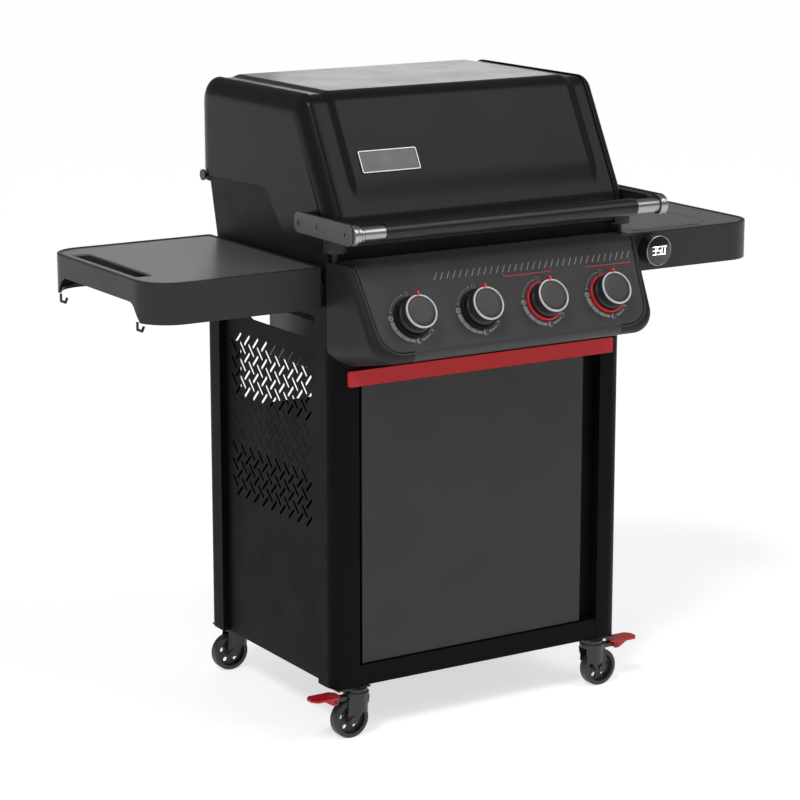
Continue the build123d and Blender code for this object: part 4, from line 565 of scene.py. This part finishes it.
def end_caps():
    """Cast end caps: a flat side, a broad soft shoulder and a band that laps the lid sheet."""
    crown = rounded([(LID_FRONT, LID_LOW, 0), (LID_FRONT, LID_BREAK, BREAK_RADIUS),
                     (LID_RIDGE, LID_TOP, RIDGE_RADIUS), (LID_REAR, LID_TOP, REAR_RADIUS),
                     (LID_REAR, LID_REAR_LOW, 0)], steps=14, closed=False)
    path = resampled(crown, CAP_SPACING)
    profile = cap_profile()
    (low_y, low_radius), (high_y, high_radius) = CAP_SCOOP
    scoop = rounded([(LID_FRONT, LID_LOW, 0), (low_y, LID_LOW, low_radius), (high_y, SCOOP_TOP, high_radius),
                     (LID_REAR, LID_REAR_LOW, 0)], steps=14, closed=False)
    edge = [(y, z) for y, z in scoop if LID_FRONT + CAP_SHOULDER < y < LID_REAR - CAP_SHOULDER]
    rows = len(profile)
    for name, side in SIDES:
        verts = []
        for (y, z), out in zip(path, path_normals(path)):
            lowest = LID_LOW if y < CAP_MIDDLE else LID_REAR_LOW
            for x, inset in profile:
                verts.append(at(side * x, y - out.x * inset, max(z - out.y * inset, lowest)))
        faces = grid_faces(len(path), rows)
        border = [index * rows + rows - 1 for index in range(len(path))]
        faces.append(tuple(border + list(range(len(verts) + len(edge) - 1, len(verts) - 1, -1))))
        verts += [at(side * CAP_SIDE, y, z) for y, z in edge]
        cap = outward_open(add(f"lid_cap_{name}", verts, faces, "lid", "lid_enamel", 50.0))
        thicken(cap, CAP_THICKNESS)
        weight_normals(cap, 90, keep_sharp=True)
        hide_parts(f"lid_end_cap_{name}")


def notch_shades():
    """Painted shade of a small notch in each side of the cookbox, beside the lid's scoop: a thin black patch,
    not a cut.
    """
    cookbox_side = extent("cookbox")[1]
    shape = rounded([(231.0, 1003.0, 2.6), (237.5, 1003.0, 2.6), (238.5, 1013.0, 2.0), (230.0, 1013.0, 2.0)])
    for name, side in SIDES:
        def place(u, v, w):
            return at(side * (cookbox_side + w), u, v)
        # Painted shade: a thin black slab on the cookbox side for the notch.
        slab(f"cookbox_notch_shade_{name}", [shape], place, -0.6, 0.15, "cart", "painted_shade_black")


# ---- handle -------------------------------------------------------------------------------------
def handle():
    """The dark grip tube between two steel sleeves and stepped collars."""
    centre = middle("lid_handle_tube")
    half = extent("lid_handle_tube")[1]
    grip = [(0, -half), (13.7, -half), (15.9, -half), (16.5, -half + 0.7), (16.5, half - 0.7), (15.9, half),
            (13.7, half), (0, half)]
    sleeve = [(0, half - 4), (13.5, half - 4), (13.5, 324.0), (12.6, 324.6), (12.6, 326.4), (13.5, 327.0),
              (13.5, 331.5), (0, 331.5)]
    gap = [(0, 331.2), (14.6, 331.2), (14.6, 333.4), (0, 333.4)]
    collar = [(0, 333.0), (16.6, 333.0), (17.4, 333.6), (17.4, 337.2), (18.0, 337.8), (18.5, 338.6),
              (18.5, 341.2), (17.9, 341.8), (17.9, 342.6), (18.5, 343.2), (18.5, 346.9), (18.1, 347.4),
              (0, 347.4)]
    tube = turned("handle_grip", grip, centre, Vector((1, 0, 0)), "lid", "handle_paint", 64)
    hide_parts("lid_handle_tube")
    for name, side in SIDES:
        out = Vector((side, 0, 0))
        ferrule = turned(f"handle_sleeve_{name}", sleeve, centre, out, "lid", "steel")
        if name == "left":
            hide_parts("lid_handle_ferrules")
        turned(f"handle_gap_{name}", gap, centre, out, "lid", "black_plastic")
        turned(f"handle_collar_{name}", collar, centre, out, "lid", "bright_steel")


PLATE_CORNER, PLATE_THICKNESS, PLATE_PROUD, PLATE_EDGE = 14.0, 3.0, 0.2, 0.9
SCREW_Y, SCREW_Z = (86.4, 18.4, -80.6), 984.7
SCREW_HEAD = [(0, -1.0), (6.4, -1.0), (6.4, 0.3), (6.1, 1.0), (5.2, 1.7), (3.9, 2.2), (3.2, 2.2), (3.0, 0.6),
              (0, 0.6)]
# Black disc filling each screw's socket: painted shade in the recess.
SCREW_RECESS_SHADE = [(0, 0.2), (3.1, 0.2), (3.1, 1.5), (0, 1.5)]


def side_plates():
    """The grey cover plates on the handle's arms, with three socket screws each, their sockets filled with
    painted shade.
    """
    right, front, rear, bottom, top = extent("lid_handle_side_plates")[1:]
    shape = rounded_box(front, rear, bottom, top, PLATE_CORNER, steps=10)
    for name, side in SIDES:
        out = Vector((side, 0, 0))

        def place(u, v, w):
            return at(side * (right - PLATE_THICKNESS + w), u, v)
        plate = slab(f"handle_plate_{name}", [shape], place, 0.0, PLATE_THICKNESS + PLATE_PROUD, "lid",
                     "grey_paint")
        bevelled(plate, PLATE_EDGE, 3)
        if name == "left":
            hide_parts("lid_handle_side_plates")
        for index, y in enumerate(SCREW_Y, start=1):
            origin = at(side * (right + PLATE_PROUD), y, SCREW_Z)
            screw = turned(f"handle_screw_{name}_{index}", SCREW_HEAD, origin, out, "lid",
                           "grey_paint", 36)
            # Painted shade: a black disc in the socket of each screw head.
            turned(f"handle_screw_recess_{name}_{index}", SCREW_RECESS_SHADE, origin, out, "lid",
                   "painted_shade_black", 6)
            if name == "left" and index == 1:
                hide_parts("lid_handle_screws")


# ---- control panel ------------------------------------------------------------------------------
DIAL = 45.0
FINE_LINE = 0.7
# Thickening blocks of the low scale and thinning blocks of the high scale, as (start, stop, thickness).
DIAL_BLOCKS = (((186, 207, 8.0), (208.5, 229, 7.4), (230.5, 248, 6.4), (249.5, 262, 5.4)),
               ((282, 291, 4.2), (292.5, 300, 3.6), (301.5, 309, 3.0)))


def dial_prints():
    """Printed dial marks round each knob: open circle, arrow arc, ring, scale blocks and filled circles."""
    for number, x in enumerate(KNOB_X, start=1):
        def ring(radius_in, radius_out, start, stop, steps=16):
            return band(arc(x, 0, radius_in, start, stop, steps), arc(x, 0, radius_out, start, stop, steps))

        def blocks(rows, steps):
            return [ring(DIAL - thick / 2, DIAL + thick / 2, start, stop, steps)
                    for start, stop, thick in rows]

        def spot(angle, distance=DIAL):
            turn = math.radians(angle)
            return x + distance * math.cos(turn), distance * math.sin(turn)

        def half_ring(centre, inner, outer, start, steps):
            return band(arc(*centre, inner, start, start + 180, steps),
                        arc(*centre, outer, start, start + 180, steps))
        off = spot(90.0)
        outlines = [half_ring(off, 3.4, 3.4 + FINE_LINE, 0, 12),
                    half_ring(off, 3.4, 3.4 + FINE_LINE, 180, 12)]
        outlines.append(ring(DIAL - 0.4, DIAL + 0.4, 106, 160, 20))
        for angle, turn in ((104.0, 1.0), (162.0, -1.0)):
            root = angle + turn * 2.0
            outlines.append([spot(angle - turn * 3.0), spot(root, DIAL - 2.0), spot(root),
                             spot(root, DIAL + 2.0)])
        u, v = flame = spot(177.0)
        outlines += [half_ring(flame, 2.6, 5.4, 0, 10), half_ring(flame, 2.6, 5.4, 180, 10),
                     [(u - 0.5, v - 2.7), (u + 1.4, v + 0.4), (u + 0.5, v + 2.7), (u - 1.4, v - 0.4)]]
        outlines += blocks(DIAL_BLOCKS[0], 8)
        u, v = medium = spot(272.0)
        outlines += [half_ring(medium, 4.6, 4.6 + FINE_LINE, -90, 12),
                     arc(u, v, 4.6 + FINE_LINE, 90, 270, 14)]
        outlines += blocks(DIAL_BLOCKS[1], 5)
        u, v = low = spot(318.0)
        outlines += [half_ring(low, 4.0, 4.6, -30, 12), half_ring(low, 4.0, 4.6, 150, 12),
                     [low] + arc(u, v, 4.2, 20, 100, 8)]
        slab(f"dial_print_{number}", outlines, on_face, PRINT_BACK, PRINT_FRONT, "cart",
             "print_grey")


TICK_LOW, TICK_HIGH, TICK_WIDTH, TICK_LEAN, TICK_COUNT = 64.6, 79.0, 2.2, 9.4, 33
TICKS_LEFT, TICKS_RIGHT = -153.0, 286.0
BRACKET_LOW, BRACKET_LINE, BRACKET_END = 56.0, 57.6, 62.0


def header_prints():
    """Row of diagonal ticks and the red bracket line over the two right-hand knobs."""
    ticks = []
    for index in range(TICK_COUNT):
        u = TICKS_LEFT + index * (TICKS_RIGHT - TICKS_LEFT) / (TICK_COUNT - 1)
        ticks.append([(u, TICK_LOW), (u + TICK_WIDTH, TICK_LOW), (u + TICK_WIDTH + TICK_LEAN, TICK_HIGH),
                      (u + TICK_LEAN, TICK_HIGH)])
    slab("tick_print", ticks, on_face, PRINT_BACK, PRINT_FRONT, "cart", "print_grey")
    line = [[(left, BRACKET_LOW), (right, BRACKET_LOW), (right, BRACKET_LINE), (left, BRACKET_LINE)]
            for left, right in ((1.0, 107.0), (187.0, 293.0))]
    line += [[(1.0, BRACKET_LINE), (2.6, BRACKET_LINE), (-0.4, BRACKET_END), (-2.0, BRACKET_END)],
             [(291.4, BRACKET_LINE), (293.0, BRACKET_LINE), (293.0, BRACKET_END), (291.4, BRACKET_END)]]
    slab("bracket_print", line, on_face, PRINT_BACK, PRINT_FRONT, "cart", "print_red")


# Turned profiles of a knob as (radius, height above the control face). The pointer's side view is given as
# (height above the face, distance up the slope).
KNOB_GRIP = [(0, 7.2), (32.6, 7.2), (33.4, 7.8), (33.5, 9.0), (33.5, 13.6), (33.0, 15.0), (31.9, 15.8),
             (31.3, 16.4), (31.2, 18.0), (31.0, 30.0), (30.9, 32.6), (31.2, 33.8), (31.2, 34.6), (0, 34.6)]
KNOB_RING = [(28.7, 33.4), (31.4, 33.6), (32.1, 34.4), (32.2, 36.6), (31.9, 37.5), (31.3, 37.9), (29.4, 37.9),
             (28.9, 37.6), (28.7, 37.0), (28.7, 33.4)]
KNOB_CAP = [(0, 33.0), (27.6, 33.0), (27.6, 35.4), (27.2, 36.2), (26.4, 36.5), (20.0, 36.55), (0, 36.6)]
KNOB_POINTER = [(10.8, 33.8), (10.8, 35.0), (20.0, 35.2), (31.0, 35.6), (34.5, 36.8), (37.5, 38.0),
                (40.6, 37.8), (41.6, 36.2), (41.6, 32.0), (40.8, 30.6), (38.6, 30.4), (38.3, 32.4),
                (36.0, 32.6), (33.0, 31.6), (30.0, 31.4), (18.0, 31.6), (16.4, 33.8)]
POINTER_HALF_WIDTH, KNOB_STEPS = 2.6, 96


def knobs():
    for number, x in enumerate(KNOB_X, start=1):
        body = f"knob_{number}"
        for name, profile, slot, look in (("grip", KNOB_GRIP, "knob_plastic", "knob_plastic"),
                                          ("ring", KNOB_RING, "steel", "ring_satin"),
                                          ("cap", KNOB_CAP, "knob_plastic", "cap_plastic")):
            piece = turned(f"knob_{name}_{number}", profile, on_face(x, 0.0), FACE_OUT, body, look,
                           KNOB_STEPS)
            if name == "grip":
                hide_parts(f"knob_{number}")

        def place(out, up, w):
            return on_face(x + w, up, out)
        pointer = slab(f"knob_pointer_{number}", [KNOB_POINTER], place, -POINTER_HALF_WIDTH,
                       POINTER_HALF_WIDTH, body, "pointer_red")
        bevelled(pointer, 0.9, 3, 20.0)


# The seam between the face plate and each end cap, as half widths and levels on the control face.
SEAM_TOP_HALF, SEAM_LOW_HALF, SEAM_END_HALF, SEAM_RADIUS = 310.0, 292.0, 231.0, 45.0
SEAM_LOW = 767.0
# Beads as (shift, radius, finish): a black one of painted shade for the seam's gap, and a raised rim.
SEAM_BEADS = ((0.0, 0.9, "painted_shade_black"), (3.4, 1.5, "panel_paint"))


def crease_beads():
    """Double bead along the seam between the face plate and each end cap: a black bead of painted shade for
    the gap, and a raised rim.
    """
    seam_top = extent("control_panel_face")[5] - 1.0
    for name, side in SIDES:
        for index, (shift, radius, look) in enumerate(SEAM_BEADS, start=1):
            low, top = up_face(SEAM_LOW) - shift, up_face(seam_top) - shift
            path = rounded([((SEAM_TOP_HALF + shift) * side, top, 0),
                            ((SEAM_LOW_HALF + shift) * side, low, SEAM_RADIUS + shift),
                            (SEAM_END_HALF * side, low, 0)], steps=18, closed=False)
            tube_line(f"panel_seam_{name}_{index}", [on_face(u, v) for u, v in path], radius, "cart",
                      look)


# ---- display ------------------------------------------------------------------------------------
# Turned profiles of the display as (radius, depth behind its front).
DISPLAY_RING = [(27.6, 1.8), (29.4, 1.8), (29.9, 1.2), (29.7, 0.5), (29.0, 0.05), (28.3, 0.3), (27.9, 0.9),
                (27.6, 1.8)]
DISPLAY_GLASS = [(0, 1.6), (27.7, 1.6), (27.7, 0.9), (27.2, 0.6), (0, 0.5)]
GLASS_DEPTH, DIGIT_RELIEF = 0.6, 0.3
DIGIT_HALF_WIDTH, DIGIT_HALF_HEIGHT, STROKE_HALF, STROKE_OVERRUN, STROKE_POINT = 3.4, 7.6, 0.85, 0.4, 0.6
SEGMENTS = {"a": ((-1, 1), (1, 1)), "b": ((1, 1), (1, 0)), "c": ((1, 0), (1, -1)), "d": ((-1, -1), (1, -1)),
            "e": ((-1, 0), (-1, -1)), "f": ((-1, 1), (-1, 0)), "g": ((-1, 0), (1, 0))}
DIGITS = ((-11.2, "abgcd"), (0.0, "afgcd"), (11.2, "abcdef"))


def stroke(shift, ends):
    """Six-sided outline of one segment of a digit."""
    start, stop = (Vector((shift + u * DIGIT_HALF_WIDTH, v * DIGIT_HALF_HEIGHT)) for u, v in ends)
    along = (stop - start).normalized()
    across = Vector((-along.y, along.x)) * STROKE_HALF
    start, stop = start - along * STROKE_OVERRUN, stop + along * STROKE_OVERRUN
    corners = [start - across, stop - across, stop + along * STROKE_POINT, stop + across, start + across,
               start - along * STROKE_POINT]
    return [(corner.x, corner.y) for corner in corners]


def display():
    """Round display pod: a dark shell, a bright ring, a glass and lit digits."""
    front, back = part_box("temperature_display")[0].y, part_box("temperature_display")[1].y
    centre = middle("temperature_display")
    depth = (back - front) / MM
    origin = Vector((centre.x, front, centre.z))
    inward = Vector((0, 1, 0))
    shell = [(0, depth), (29.0, depth), (29.0, 6.0), (29.2, 3.4), (29.9, 2.6), (29.9, 1.4), (29.0, 1.4),
             (0, 1.4)]
    pod = turned("display_pod", shell, origin, inward, "cart", "black_plastic", 96)
    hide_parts("temperature_display")
    turned("display_ring", DISPLAY_RING, origin, inward, "cart", "bright_steel", 96)
    turned("display_glass", DISPLAY_GLASS, origin, inward, "cart", "display", 96)

    def place(u, v, w):
        return origin + Vector((u * MM, (GLASS_DEPTH - w) * MM, v * MM))
    strokes = [stroke(shift, SEGMENTS[key]) for shift, lit in DIGITS for key in lit]
    slab("display_digits", strokes, place, 0.0, DIGIT_RELIEF, "cart", "digit_white")
    slab("display_degree", [rounded_box(16.6, 18.8, 6.0, 8.4, 1.0)], place, 0.0, DIGIT_RELIEF, "cart",
         "digit_white")


# ---- studio -------------------------------------------------------------------------------------
FLOOR_HALF = 60.0
# Soft cards in metres: place, target, width, height, power.
CARDS = {
    "back_card": ((2.3, 3.7, 1.85), (0.0, 0.1, 1.2), 1.0, 0.9, 4.6),
    "front_card": ((1.7, -2.7, 3.9), (0, 0, 0.9), 2.6, 2.2, 46.0),
    "left_card": ((-3.6, -1.2, 2.2), (0, 0, 0.9), 0.9, 2.2, 2.0),
    "shelf_card": ((1.15, 3.45, 1.62), (-0.55, 0.2, 0.9), 0.7, 0.6, 1.3),
}
SUN_POWER, SUN_ANGLE, SUN_DIRECTION, SKY = 1.0, 14.0, (0.62, 0.45, -0.9), 0.20
CAMERA_PLACE, CAMERA_TILT, CAMERA_TURN, CAMERA_LENS = (-2.7919, -4.35675, 1.7825), 77.0, -32.0, 121.76


def floor():
    half = FLOOR_HALF
    mesh = bpy.data.meshes.new("floor")
    mesh.from_pydata([(-half, -half, 0), (half, -half, 0), (half, half, 0), (-half, half, 0)], [],
                     [(0, 1, 2, 3)])
    mesh.materials.append(finish("floor_white", (0.78, 0.78, 0.78), 0.7, grain=40.0, bump=0.02, tint=0.01,
                                 glow=0.84))
    obj = bpy.data.objects.new("studio_floor", mesh)
    bpy.context.scene.collection.objects.link(obj)


def softbox(name, location, target, width, height, power):
    light = bpy.data.lights.new(name, "AREA")
    light.shape = "RECTANGLE"
    light.size = width
    light.size_y = height
    light.energy = power
    obj = bpy.data.objects.new(name, light)
    obj.location = location
    obj.rotation_euler = (Vector(target) - Vector(location)).to_track_quat("-Z", "Y").to_euler()
    obj.visible_camera = False
    bpy.context.scene.collection.objects.link(obj)


def studio():
    scene = bpy.context.scene
    world = bpy.data.worlds.new("studio")
    scene.world = world
    world.use_nodes = True
    background = world.node_tree.nodes["Background"]
    background.inputs["Color"].default_value = (1.0, 1.0, 1.0, 1.0)
    background.inputs["Strength"].default_value = SKY
    scene.view_settings.view_transform = "Standard"
    sun = bpy.data.lights.new("key", "SUN")
    sun.energy = SUN_POWER
    sun.angle = math.radians(SUN_ANGLE)
    key = bpy.data.objects.new("key", sun)
    key.rotation_euler = Vector(SUN_DIRECTION).to_track_quat("-Z", "Y").to_euler()
    scene.collection.objects.link(key)
    for name, card in CARDS.items():
        softbox(name, *card)


def camera():
    data = bpy.data.cameras.new("camera")
    data.lens = CAMERA_LENS
    data.sensor_width = 36.0
    data.clip_start = 0.1
    data.clip_end = 200.0
    obj = bpy.data.objects.new("camera", data)
    obj.location = CAMERA_PLACE
    obj.rotation_euler = (math.radians(CAMERA_TILT), 0.0, math.radians(CAMERA_TURN))
    bpy.context.scene.collection.objects.link(obj)
    bpy.context.scene.camera = obj


# ---- everything ---------------------------------------------------------------------------------
paint_nodes()
for node, width in SOFT_EDGES.items():
    soften(node, width)
lid_sheet()
badge()
end_caps()
notch_shades()
handle()
side_plates()
dial_prints()
header_prints()
knobs()
crease_beads()
display()
floor()
studio()
camera()
